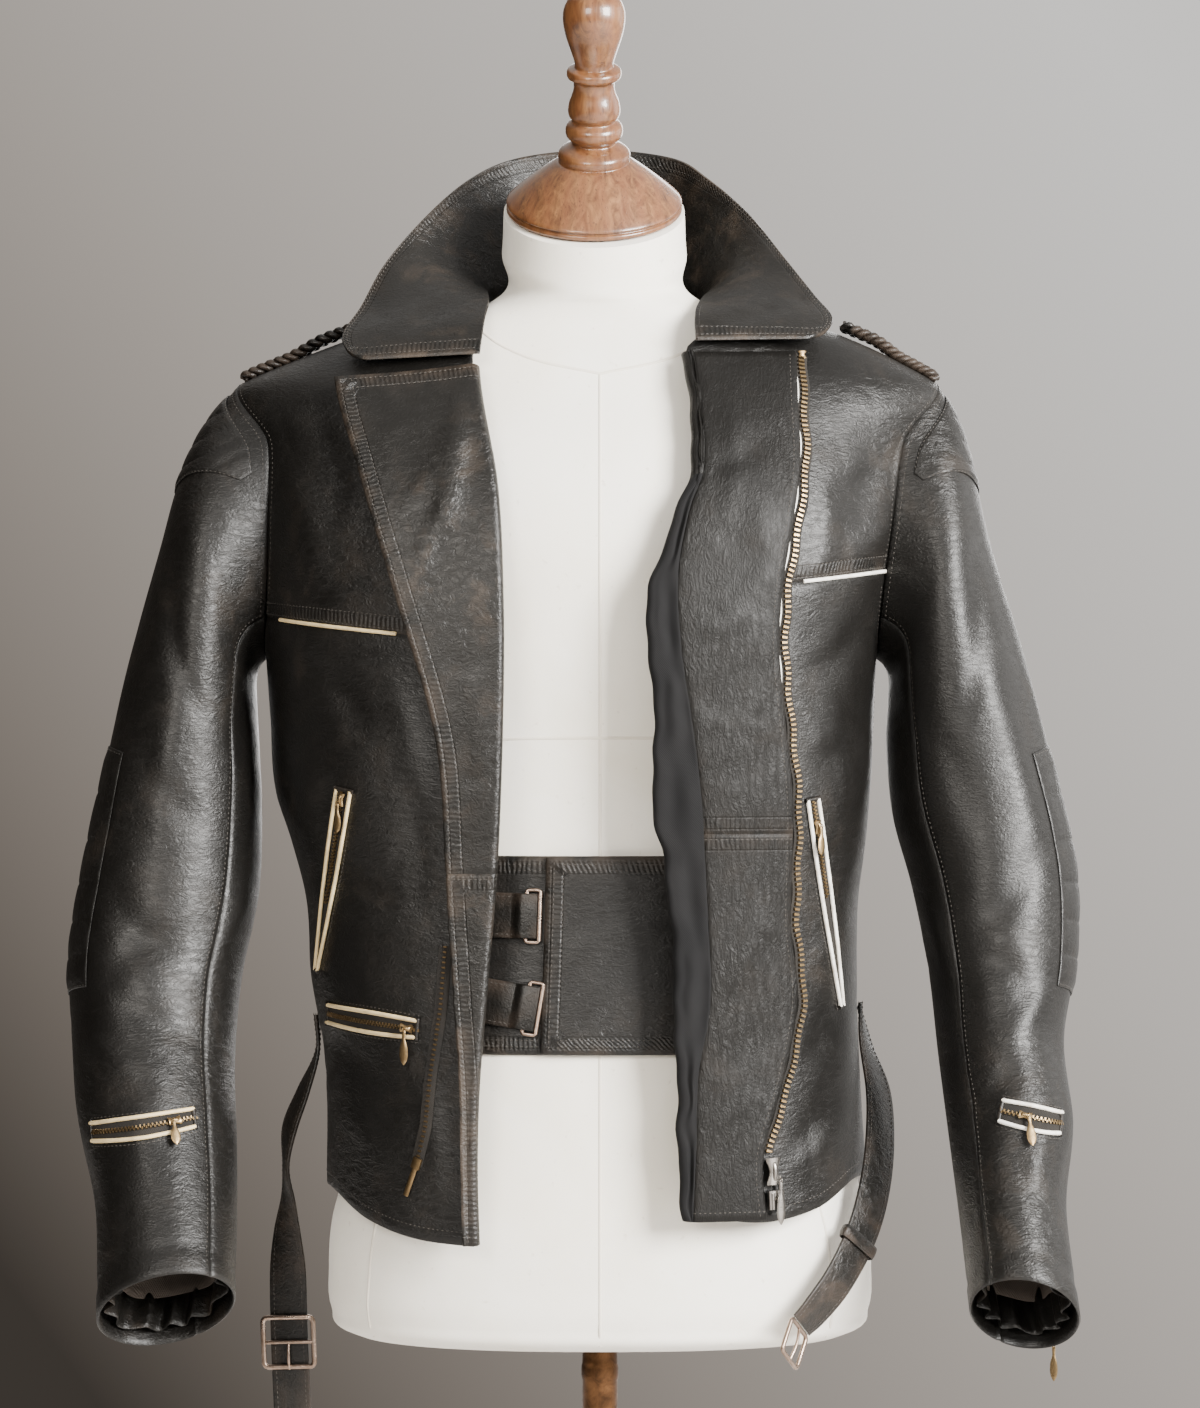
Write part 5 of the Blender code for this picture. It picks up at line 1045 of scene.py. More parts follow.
# The lining rolls over the left front's edge in soft puckers that lean and change width down its length
def liningRelief(x, z, share):
    wave = (np.sin(z * 210 + 2.0 * np.sin(z * 37)) * 0.4 + np.sin(z * 74 + 1.3 + share * 3.4)
            + np.sin(z * 31 - share * 5))
    return 0.0013 * wave * math.sin(math.pi * min(share * 1.1, 1.0))


z = rowsBetween(lowL, topL)
liningSeam = through(leftEdge["z"], leftEdge["seam"], z) - cut["seam"] / 2
liningFold = through(leftEdge["z"], leftEdge["fold"], z)
liningPoints = turnedSection(1, z, liningSeam, liningFold, 0.020, 0.0, 0.0, liningRelief)
ripple = (0.0016 * np.sin(z * 96 + 1.7 * np.sin(z * 29)) + 0.0008 * np.sin(z * 230))[:, None]
rollShare = np.sin(np.linspace(0, math.pi, liningPoints.shape[1]))[None]**2
liningPoints[..., 0] += ripple * rollShare
liningNormals = outwardOf(liningPoints)
panels["lining"] = {"points": liningPoints, "normals": liningNormals}
leatherFrom = int(np.searchsorted(z, 1.318))  # above it the roll is leather
below, above = slice(0, leatherFrom + 1), slice(leatherFrom, None)
liningStrip = makePiece("lining_strip", [shell(liningPoints[below], liningNormals[below], cut["lining"])],
                        "lining", hides=["lining_strip_left"])
leatherRoll = makePiece("facing_left_roll", [shell(liningPoints[above], liningNormals[above], cut["lining"])],
                        "leatherDull")
print("facings and lining made")

# The collar: straight lines from the neckline to the edge, swollen in the middle, with a rolled stand
collar = rowTable(
    "row neckX  neckY  neckZ  edgeX  edgeY  edgeZ",
    (0, -0.0805, -0.0850, 1.4047, -0.166, -0.074, 1.401),
    (1, -0.0780, -0.0660, 1.4277, -0.174, -0.052, 1.418),
    (2, -0.0755, -0.0380, 1.4437, -0.163, -0.026, 1.440),
    (3, -0.0770, -0.0050, 1.4527, -0.148, 0.000, 1.472),
    (4, -0.0750, 0.0320, 1.4567, -0.122, 0.030, 1.507),
    (5, -0.0580, 0.0582, 1.4637, -0.091, 0.062, 1.538),
    (6, -0.0300, 0.0732, 1.4657, -0.057, 0.088, 1.556),
    (7, 0.0000, 0.0767, 1.4657, -0.002, 0.100, 1.563),
    (8, 0.0300, 0.0732, 1.4657, 0.050, 0.088, 1.556),
    (9, 0.0570, 0.0582, 1.4637, 0.074, 0.062, 1.539),
    (10, 0.0740, 0.0320, 1.4567, 0.103, 0.030, 1.510),
    (11, 0.0750, -0.0050, 1.4527, 0.127, 0.000, 1.476),
    (12, 0.0690, -0.0380, 1.4447, 0.146, -0.026, 1.448),
    (13, 0.0640, -0.0660, 1.4327, 0.157, -0.050, 1.430),
    (14, 0.0640, -0.0850, 1.4137, 0.148, -0.072, 1.416))
collarCreases = [  # place round the collar (0 to 14, times 0.03) and up it, in metres
    (0.020, 0.055, 0.060, 0.020, -0.0022, 0.010), (0.055, 0.070, 0.110, 0.050, 0.0018, 0.010),
    (0.100, 0.030, 0.150, 0.065, -0.0016, 0.011), (0.370, 0.060, 0.405, 0.022, -0.0022, 0.010),
    (0.330, 0.070, 0.300, 0.030, 0.0018, 0.011), (0.170, 0.060, 0.250, 0.055, 0.0014, 0.012)] + scatter(
        31, 40, (0.02, 0.01, 0.40, 0.075), (0.012, 0.035), 25, 40, 0.0006, 0.0034)
collarShape = {"corner": 0.010, "cornerRows": 0.36, "standTo": 1.4393, "standMost": 0.014, "swell": 0.006}
up = np.concatenate([np.linspace(0, 0.84, 22), np.linspace(0.84, 1, 12)[1:]])
share = np.linspace(0, 1, 190)
fromEdge = (1 - up) * 0.074  # the free edge's corners are quarter circles
trim = np.clip((collarShape["corner"] - fromEdge) / collarShape["corner"], 0, 1)
trim = collarShape["cornerRows"] * (1 - np.sqrt(1 - trim**2))
at = trim[:, None] + (14 - 2 * trim[:, None]) * share[None]
c = columnsAt(collar, "row", at)
neck = np.stack([c["neckX"], c["neckY"], c["neckZ"]], axis=-1)
edge = np.stack([c["edgeX"], c["edgeY"], c["edgeZ"]], axis=-1)
collarPoints = neck + (edge - neck) * up[:, None, None]
swell = collarShape["swell"] * np.sin(math.pi * up)[:, None] * np.sin(math.pi * at / 14)
collarPoints[..., 2] += 0.6 * swell
collarPoints[..., 1] += swell * np.cos(math.pi * (at / 7 - 1))
depth = np.clip(collarPoints[0, :, 2] - collarShape["standTo"], 0.0004, collarShape["standMost"])
stand = np.repeat(collarPoints[:1], 3, axis=0)  # three more rows, straight down from the neckline
stand[..., 2] -= np.array([1.0, 0.66, 0.33])[:, None] * depth
collarPoints = np.concatenate([stand, collarPoints])
collarNormals = gridNormals(collarPoints)
collarNormals = collarNormals if collarNormals[13, 95, 1] < 0 else -collarNormals
height = np.linalg.norm(edge - neck, axis=-1).mean(0)
upAll = np.concatenate([np.zeros(3), up])
lift = creased(share[None] * 0.42, upAll[:, None] * height[None], collarCreases) * ease(upAll / 0.15)[:, None]
lift = lift * ease((1 - upAll) / 0.12)[:, None] * ease(np.minimum(share, 1 - share) / 0.02)[None]
collarPoints = collarPoints + collarNormals * lift[..., None]
collarPiece = leatherPanel("collar", collarPoints, collarNormals, cut["collar"], "leatherFolded",
                           ("high", "first", "last"))
print("collar made")

# Sleeves: tilted ellipses between the two silhouettes, drawn to the armhole's edge over their first rows
sleeve = {"columnStep": math.pi / 8, "seams": (-5, 6), "rows": 176, "radius": 0.062, "hemRow": 10.72}
sleeveCreases = {  # round the sleeve (angle times its radius), down it, both in metres
    -1: [(0.045, 0.060, 0.120, 0.140, -0.0030, 0.012), (0.100, 0.100, 0.095, 0.250, 0.0026, 0.012),
         (0.060, 0.180, 0.130, 0.215, -0.0026, 0.011), (0.050, 0.260, 0.140, 0.330, -0.0036, 0.012),
         (0.130, 0.290, 0.060, 0.345, -0.0030, 0.011), (0.070, 0.350, 0.150, 0.375, -0.0032, 0.010),
         (0.040, 0.380, 0.120, 0.410, 0.0026, 0.011), (0.120, 0.400, 0.080, 0.500, 0.0024, 0.012),
         (0.050, 0.555, 0.140, 0.540, -0.0024, 0.008), (0.060, 0.600, 0.150, 0.590, -0.0026, 0.008),
         (0.030, 0.575, 0.090, 0.583, 0.0020, 0.008), (0.070, 0.625, 0.130, 0.618, 0.0018, 0.007),
         (-0.060, 0.280, -0.140, 0.320, -0.0028, 0.012), (-0.050, 0.350, -0.130, 0.370, 0.0022, 0.012),
         (-0.040, 0.150, -0.100, 0.250, -0.0024, 0.014), (-0.060, 0.450, -0.120, 0.520, 0.0020, 0.012),
         (0.180, 0.050, 0.150, 0.160, -0.0026, 0.012), (0.175, 0.250, 0.150, 0.330, 0.0026, 0.011),
         (0.000, 0.420, 0.040, 0.530, -0.0020, 0.014), (0.020, 0.120, 0.060, 0.230, 0.0018, 0.014)],
    1: [(0.050, 0.050, 0.110, 0.150, -0.0032, 0.012), (0.085, 0.090, 0.075, 0.270, 0.0028, 0.012),
        (0.130, 0.120, 0.110, 0.230, -0.0024, 0.011), (0.060, 0.230, 0.135, 0.300, -0.0032, 0.012),
        (0.140, 0.310, 0.070, 0.350, -0.0030, 0.010), (0.050, 0.330, 0.110, 0.385, 0.0026, 0.011),
        (0.090, 0.400, 0.150, 0.425, -0.0028, 0.010), (0.060, 0.420, 0.090, 0.500, 0.0024, 0.012),
        (0.120, 0.470, 0.070, 0.510, -0.0022, 0.010), (0.050, 0.580, 0.130, 0.560, -0.0026, 0.008),
        (0.060, 0.615, 0.140, 0.600, -0.0024, 0.008), (0.040, 0.600, 0.100, 0.590, 0.0020, 0.008),
        (-0.050, 0.290, -0.130, 0.330, -0.0028, 0.012), (-0.060, 0.360, -0.140, 0.350, 0.0022, 0.011),
        (-0.040, 0.160, -0.110, 0.240, -0.0024, 0.014), (-0.050, 0.460, -0.110, 0.520, 0.0020, 0.012),
        (0.185, 0.060, 0.150, 0.170, -0.0028, 0.012), (0.180, 0.260, 0.155, 0.330, 0.0026, 0.011),
        (0.010, 0.430, 0.050, 0.520, -0.0020, 0.014), (0.025, 0.130, 0.050, 0.240, 0.0018, 0.014)]}
for side in (-1, 1):
    calmer = [crease[:4] + (crease[4] * 0.80, crease[5] * 1.1) for crease in sleeveCreases[side]]
    sleeveCreases[side] = calmer + scatter(41 + side, 60, (-0.19, 0.03, 0.19, 0.64), (0.014, 0.05),
                                           12, 40, 0.0005, 0.0038)


def sleeveRing(rows, angle, row):
    s = columnsAt(rows, "row", row)
    cosine, sine, tilt = np.cos(angle), np.sin(angle), np.radians(s["tilt"])
    x = (s["outerX"] + s["innerX"]) / 2 + (s["outerX"] - s["innerX"]) / 2 * cosine
    z = (s["outerZ"] + s["innerZ"]) / 2 + (s["outerZ"] - s["innerZ"]) / 2 * cosine
    z = z + s["depth"] * np.sin(tilt) * sine
    y = s["y"] - s["depth"] * np.cos(tilt) * sine
    return np.stack(np.broadcast_arrays(x, y, z), axis=-1)


def sleevePoint(side, angle, row):
    rows = leftSleeve if side > 0 else rightSleeve
    start = armholePoint(side, angle) - sleeveRing(rows, angle, np.zeros_like(row))
    fade = (np.clip(1 - row / 1.8, 0, 1)**2)[..., None]
    return sleeveRing(rows, angle, row) + start * fade + np.array([side * cut["armholeGap"], 0.0, 0.0])


def sleeveNormal(side, angle, row):
    across = sleevePoint(side, angle + 0.02, row) - sleevePoint(side, angle - 0.02, row)
    down = sleevePoint(side, angle, row + 0.02) - sleevePoint(side, angle, np.maximum(row - 0.02, 0))
    own = unit(np.cross(down, across)) * -side
    start = armholePoint(side, angle)
    onBody = normalOf(bodyPoint, turnAtY(side, start[..., 1], start[..., 2]), start[..., 2])
    shared = ((0.5 + 0.5 * np.cos(angle)) * np.clip(1 - row / 0.5, 0, 1))[..., None]
    return unit(own * (1 - shared) + onBody * shared)


sleeveKeys = np.linspace(0, 11, 45)
sleeveArc = {side: np.concatenate([[0], np.cumsum(np.linalg.norm(np.diff(
    (sleevePoint(side, np.zeros(45), sleeveKeys) + sleevePoint(side, np.full(45, math.pi), sleeveKeys)) / 2,
    axis=0), axis=1))]) for side in (-1, 1)}


def sleeveSurface(side, angle, row):  # with its creases, sunk seams and a turned hem
    down = np.interp(row, sleeveKeys, sleeveArc[side])
    whole = 2 * math.pi * sleeve["radius"]
    lift = sum(creased(angle * sleeve["radius"] + k * whole, down, sleeveCreases[side]) for k in (-1, 0, 1))
    lift = lift * ease(row / 0.7) * ease((10.9 - row) / 0.5)
    for seam in sleeve["seams"]:
        away = np.abs((angle - seam * sleeve["columnStep"] + math.pi) % (2 * math.pi) - math.pi)
        lift = lift - 0.0009 * np.exp(-(away * sleeve["radius"] / 0.0022)**2) * ease(row / 0.3)
    pastHem = row - sleeve["hemRow"]
    lift = lift + 0.0005 * ease(pastHem / 0.06) - 0.0007 * np.exp(-(pastHem / 0.05)**2)
    points, normals = sleevePoint(side, angle, row), sleeveNormal(side, angle, row)
    return points + normals * lift[..., None], normals


def makeSleeve(side, word):
    rows, made = np.linspace(0, 11, sleeve["rows"]), []
    for part, first, last, count in (("upper", -5, 6, 84), ("under", 6, 11, 40)):
        trim = cut["seam"] / 2 / 0.06
        angles = np.linspace(first * sleeve["columnStep"] + trim, last * sleeve["columnStep"] - trim, count)
        row, angle = np.meshgrid(rows, angles, indexing="ij")
        made.append(leatherPanel(f"sleeve_{word}_{part}", *sleeveSurface(side, angle, row), cut["leather"]))
    return made


sleeves = {word: makeSleeve(side, word) for side, word in sides}


# The leather gathered inside each cuff: a ring whose drop from the sleeve waves in and out
def makeInnerCuff(side, word):
    angles = np.linspace(0, 2 * math.pi, 200, endpoint=False)
    rows = np.linspace(10.3, 10.9, 16)
    row, angle = np.meshgrid(rows, angles, indexing="ij")
    points, normals = sleevePoint(side, angle, row), sleeveNormal(side, angle, row)
    spread = ease((row - 10.3) / 0.4)
    gather = 0.5 + 0.5 * np.sin(angle * 11 + 1.6 * np.sin(angle * 3 + side) + 0.5 * np.sin(row * 9))
    drop = cut["leather"] + 0.0008 + 0.0010 * spread + (0.0016 + 0.0048 * spread) * gather
    outer = points - normals * drop[..., None]
    piece = makePiece(f"cuff_{word}_gathered", [shell(outer, normals, 0.0014, closed=True)], "leatherFolded",
                      hides=[f"cuff_{word}_inner"])
    lineRows = np.linspace(9.0, 10.62, 18)
    row, angle = np.meshgrid(lineRows, angles[::2], indexing="ij")
    points, normals = sleevePoint(side, angle, row), sleeveNormal(side, angle, row)
    waves = 0.0015 * np.sin(angle * 7 + 2 * np.sin(angle * 2) + row * 3)
    inner = points - normals * (0.0095 + waves)[..., None]
    lined = makePiece(f"cuff_{word}_lining", [shell(inner, normals, 0.0008, closed=True)], "innerLining")
    declareCloth(np.concatenate([inner, inner[:, :1]], axis=1))
    return piece, np.concatenate([outer, outer[:, :1]], axis=1)


cuffs = {word: makeInnerCuff(side, word) for side, word in sides}


# Ribbed pads: low channels, sewn down between them and all round. The shoulder's channels rise towards the
# armhole, level in z + lean * |x|, and the elbow's run straight round the sleeve
def makePad(side, name, rowEnds, angleEnds, ribs, height, lean, narrow):
    t, angles = np.linspace(0, 1, 97), np.radians(np.linspace(*angleEnds, 90))
    t, angle = np.meshgrid(t, angles, indexing="ij")
    middle, half = (angles[0] + angles[-1]) / 2, (angles[-1] - angles[0]) / 2
    row = rowEnds[0] + (rowEnds[1] - rowEnds[0]) * t * (1 - narrow * np.abs((angle - middle) / half)**1.6)
    points, normals = sleeveSurface(side, angle, row)
    level = points[..., 2] + lean * np.abs(points[..., 0])
    high, low = level[0, 45], level[-1, 45]
    phase = ribs * ((high - level) / (high - low) if lean else t)
    s = np.linspace(0, 1, angle.shape[1])[None]
    border = np.sqrt(ease(np.minimum(s, 1 - s) * 2 * half * sleeve["radius"] / 0.010))
    border = border * ease(np.minimum(t, 1 - t) / 0.06)
    channel = np.abs(np.sin(math.pi * phase))
    puckers = 0.00016 * np.sin(angle * 62 + 3 * np.sin(phase * 2.1)) * (1 - channel)
    raised = 0.0006 + (height * channel**0.42 + puckers) * border
    outer = points + normals * (0.0003 + raised)[..., None]
    panels[name] = {"points": outer, "normals": gridNormals(outer, normals)}
    piece = makePiece(f"{name}_quilt", [shell(outer, normals, raised)], "leather", hides=[name])
    for index in (1, 95):
        stitch((outer[index, 2:-2], panels[name]["normals"][index, 2:-2]))


for side, word in sides:
    makePad(side, f"shoulder_pad_{word}", (0.30, 2.2), (-67.5, 67.5), 4, 0.0010, 0.47, 0.88)
    makePad(side, f"elbow_patch_{word}", (5.0, 7.4), (-90, 45), 6, 0.0011, 0.0, 0.0)


# Braided epaulettes: three strands whose sideways and up and down swings keep a third of a turn apart
def makeEpaulette(side, word):
    braid = {"swing": 0.0056, "weave": 0.0021, "strand": 0.0034, "turns": 4.5}
    z = np.linspace(1.3905, 1.4225, 150)
    middle = bodyPoint(np.full(150, side * math.pi / 2), z)
    along = unit(np.gradient(middle, axis=0))
    normals = unit(np.cross(along, np.array([0.0, side, 0.0])))
    normals = np.where(normals[:, 2:] > 0, normals, -normals)
    across = np.cross(along, normals)
    share = np.linspace(0, 1, 150)
    loose = 0.35 + 0.65 * ease(np.minimum(share, 1 - share) / 0.06)
    arch = 0.0014 + 0.0036 * ease((share - 0.40) / 0.35)
    strands = []
    for k in range(3):
        swing = 2 * math.pi * (braid["turns"] * share + k / 3)
        path = (middle + normals * (arch + 0.0018 + braid["weave"] * np.sin(2 * swing))[:, None]
                + across * (braid["swing"] * np.sin(swing) * loose)[:, None])
        strands.append(tube(path, normals, braid["strand"], 0.0022, 10, wear=0.8))
    return makePiece(f"epaulette_{word}_braid", strands, "leatherStrap", hides=[f"epaulette_{word}"])


for side, word in sides:
    makeEpaulette(side, word)
print("sleeves, cuffs, pads and epaulettes made")


# Metal and trim. A zip's tooth is a small wedge, narrow at its tip
toothForm = np.array([(-0.5, 0.0, 0.0), (0.5, 0.0, 0.0), (0.36, 1.0, 0.0), (-0.36, 1.0, 0.0),
                      (-0.42, 0.05, 1.0), (0.42, 0.05, 1.0), (0.28, 0.92, 0.9), (-0.28, 0.92, 0.9)])
toothFaces = [[3, 2, 1, 0], [4, 5, 6, 7], [0, 1, 5, 4], [1, 2, 6, 5], [2, 3, 7, 6], [3, 0, 4, 7]]


def teeth(path, pitch, size, sideways, lift, both=True):
    points, normals = resample(path[0], path[1], pitch)
    along = unit(np.gradient(points, axis=0))
    across = unit(np.cross(along, normals))
    found = []
    for way in ((1, -1) if both else (1,)):
        shift = along * (pitch / 2 if way < 0 else 0)
        base = points + shift + across * (sideways * -way) + normals * lift
        found.append(copies(toothForm * np.array(size), toothFaces, base, along * way, across * way, normals,
                            0.5))
    return found


def ribbon(path, width, low, high, wear=0.4):  # a flat strip with slightly rounded edges
    half, middle = (high - low) / 2, (high + low) / 2
    return tube(path[0] + path[1] * middle, path[1], width / 2, half, 8, wear=wear)


def strapRaw(path, normals, width, thickness, wear=0.5):  # flat, with rounded corners, 12 points round
    along = unit(np.gradient(path, axis=0))
    across = unit(np.cross(along, normals))
    corners = np.array([(-0.5, -0.22), (-0.5, 0.22), (-0.485, 0.42), (-0.46, 0.5), (0.0, 0.56), (0.46, 0.5),
                        (0.485, 0.42), (0.5, 0.22), (0.5, -0.22), (0.485, -0.42), (0.46, -0.5), (0.0, -0.5),
                        (-0.46, -0.5), (-0.485, -0.42)])
    width = np.broadcast_to(width, len(path))
    points = (path[:, None] + across[:, None] * corners[None, :, :1] * width[:, None, None]
              + np.broadcast_to(normals, path.shape)[:, None] * corners[None, :, 1:] * thickness)
    return closedRings(points, wear * np.tile(np.where(np.abs(corners[:, 0]) > 0.45, 1.0, 0.1), len(path)))


# A slider: a waisted body on the teeth with a bridge over it that the pull's ring goes through
def sliderRaws(centre, along, normal, length, width, height):
    along = unit(np.array(along, dtype=float))
    normal = unit(normal - along * normal.dot(along))
    t = np.linspace(-0.5, 0.5, 9)
    waist = width / 2 * (0.80 + 0.20 * np.cos(t * 2 * math.pi + math.pi))
    flat = lambda lift: centre + along * (t * length)[:, None] + normal * lift
    body = tube(flat(height * 0.40), normal, waist + 0.0002, height * 0.34, 12, wear=0.6)
    arc = np.linspace(0, math.pi, 11)
    bridge = (centre + along * (np.cos(arc) * length * 0.36)[:, None]
              + normal * (height * 0.55 + np.sin(arc) * height * 0.42)[:, None])
    return [body, tube(bridge, np.cross(along, normal), 0.0004, 0.0011, 8, wear=0.6)]


# A pull: a leaf whose half width swells twice down its length, under a small ring
leafShape = rowTable("share half thick", (0.0, 0.0011, 0.0005), (0.10, 0.0014, 0.0006), (0.30, 0.0012, 0.0006),
                     (0.48, 0.0026, 0.0007), (0.64, 0.0031, 0.0007), (0.80, 0.0029, 0.0007),
                     (0.93, 0.0017, 0.0006), (1.0, 0.0004, 0.0003))
hinges = {joint["child"]: joint for joint in frame["joints"]}


def makePull(name, length, down, look="brass"):
    spot, axis = np.array(hinges[name]["pos_m"]), unit(np.array(hinges[name]["axis"]))
    down = unit(np.array(down, dtype=float) - axis * np.dot(down, axis))
    out = np.cross(axis, down)
    share = np.linspace(0.05, 1, 26)
    path = spot + down * (share * length)[:, None]
    leaf = tube(path, out, through(leafShape["share"], leafShape["half"], share),
                through(leafShape["share"], leafShape["thick"], share), 10, wear=0.7)
    turn = np.linspace(0, 2 * math.pi, 16, endpoint=False)
    ring = spot + down * (0.0006 - 0.0013 * np.cos(turn))[:, None] + out * (0.0013 * np.sin(turn))[:, None]
    loop = tube(ring, axis, 0.00038, 0.00038, 6, closed=True, wear=0.5)
    return makePiece(name + "_leaf", [leaf, loop], look, rides=name, hides=[name])


zipForm = {"pitch": 0.0026, "tooth": (0.0013, 0.0021, 0.0012), "tapeWidth": 0.0098, "piping": 0.00135,
           "bow": 0.0010, "toothRoom": 0.0024, "end": 0.0016,
           "slider": (0.0085, 0.0056, 0.0040)}
# Name, panel, both ends in x and z, half the gap between the cords at each end, the slider's place, the pull
zips = (
    ("pocket_right_slant", "front_right_lower", ((-0.169, 1.112), (-0.190, 0.990)), (0.0048, 0.0010), 0.06, 0.020),
    ("pocket_left_slant", "front_left_lower", ((0.1400, 1.106), (0.1610, 0.967)), (0.0036, 0.0010), 0.12, 0.020),
    ("pocket_right_hip", "front_right_lower", ((-0.182, 0.9615), (-0.120, 0.9555)), (0.0060, 0.0054), 0.90, 0.024),
    ("forearm_right", "sleeve_right_upper", ((-0.333, 0.888), (-0.266, 0.898)), (0.0056, 0.0056), 0.80, 0.018),
    ("forearm_left", "sleeve_left_upper", ((0.262, 0.903), (0.301, 0.8945)), (0.0066, 0.0064), 0.42, 0.022))


def makeZip(name, panel, ends, halves, slider, length):
    path = pathOn(panel, ends)
    count = len(path[0])
    half = np.linspace(*halves, count)
    makePiece(f"{name}_tape", [ribbon(path, 2 * half + 0.0016, 0.0002, 0.0009)], "tape")
    toothed = half > zipForm["toothRoom"]
    raws = teeth((path[0][toothed], path[1][toothed]), zipForm["pitch"], zipForm["tooth"], 0.0016, 0.0009)
    index = int(round(slider * (count - 1)))
    along = path[0][min(index + 1, count - 1)] - path[0][index - 1]
    raws += sliderRaws(path[0][index] + path[1][index] * 0.0008, along, path[1][index], *zipForm["slider"])
    makePiece(f"{name}_teeth", raws, "brass", hides=[f"{name}_zip"])
    (x0, z0), (x1, z1) = ends
    long = math.hypot(x1 - x0, z1 - z0)
    share, r = np.linspace(0, 1, 30), zipForm["piping"]
    cords, bars, corners = [], [], []
    for way in (1, -1):
        off = (halves[0] + (halves[1] - halves[0]) * share + zipForm["bow"] * np.sin(math.pi * share)) * way
        spots = np.stack([x0 + (x1 - x0) * share - (z1 - z0) / long * off,
                          z0 + (z1 - z0) * share + (x1 - x0) / long * off], axis=1)
        points, normals = onPanel(panel, *findOn(panel, spots))
        cords.append(tube(points + normals * (r * 0.7 + 0.0003), normals, r * 1.1, r, 8))
        outward = np.cross(unit(np.gradient(points, axis=0)), normals)
        outward = outward * np.sign((outward * (points - path[0].mean(0))).sum())
        stitch((points + outward * 0.0034, normals))
        corners.append((points[[0, -1]] + outward[[0, -1]] * 0.0018, normals[[0, -1]]))
    makePiece(f"{name}_cords", cords, "piping", hides=[f"{name}_piping"])
    for k in (0, 1):  # the leather welt's two ends
        line = corners[0][0][k] + (corners[1][0][k] - corners[0][0][k]) * np.linspace(0, 1, 6)[:, None]
        bars.append(tube(line + corners[0][1][k] * 0.0010, corners[0][1][k], zipForm["end"], 0.0014, 8))
    makePiece(f"{name}_welt", bars, "leatherStrap")
    down = np.array([0.0, 0.0, -1.0])
    if name.startswith("forearm"):
        down = down - path[1][index] * down.dot(path[1][index])
    makePull(f"{name}_pull", length, down)


for name, where, *rest in zips:
    makeZip(name, panels[where], *rest)
print("pocket and forearm zips made")


# The cuff zip runs down the back of the left cuff to its edge
def makeCuffZip():
    rows = np.linspace(8.3, 9.94, 30)
    points, normals = sleeveSurface(1, np.full(30, -2.5 * sleeve["columnStep"]), rows)
    path = (points, normals)
    makePiece("cuff_left_tape", [ribbon(path, zipForm["tapeWidth"], 0.0002, 0.0010)], "tape")
    raws = teeth(path, zipForm["pitch"], zipForm["tooth"], 0.0016, 0.0009)
    raws += sliderRaws(points[-2] + normals[-2] * 0.0008, points[-1] - points[-3], normals[-2],
                       *zipForm["slider"])
    makePiece("cuff_left_teeth", raws, "brass", hides=["cuff_left_zip"])
    along = unit(np.gradient(points, axis=0))
    for way in (-1, 1):
        stitch((points + np.cross(along, normals) * 0.0072 * way + normals * 0.0001, normals))
    makePull("cuff_left_pull", 0.024, (0, 0, -1))


# The main zip. Its left half lies along the left facing's free edge, from the box up to the lapel
mainZip = {"pitch": 0.0034, "tooth": (0.0020, 0.0046, 0.0018), "rightTooth": (0.0013, 0.0026, 0.0012),
           "low": 0.876, "boxLow": 0.838, "boxTop": 0.874, "wave": 0.0008}


def onBody(x, z):
    turn = turnAtX(x, z)
    return bodyPoint(turn, z), normalOf(bodyPoint, turn, z)


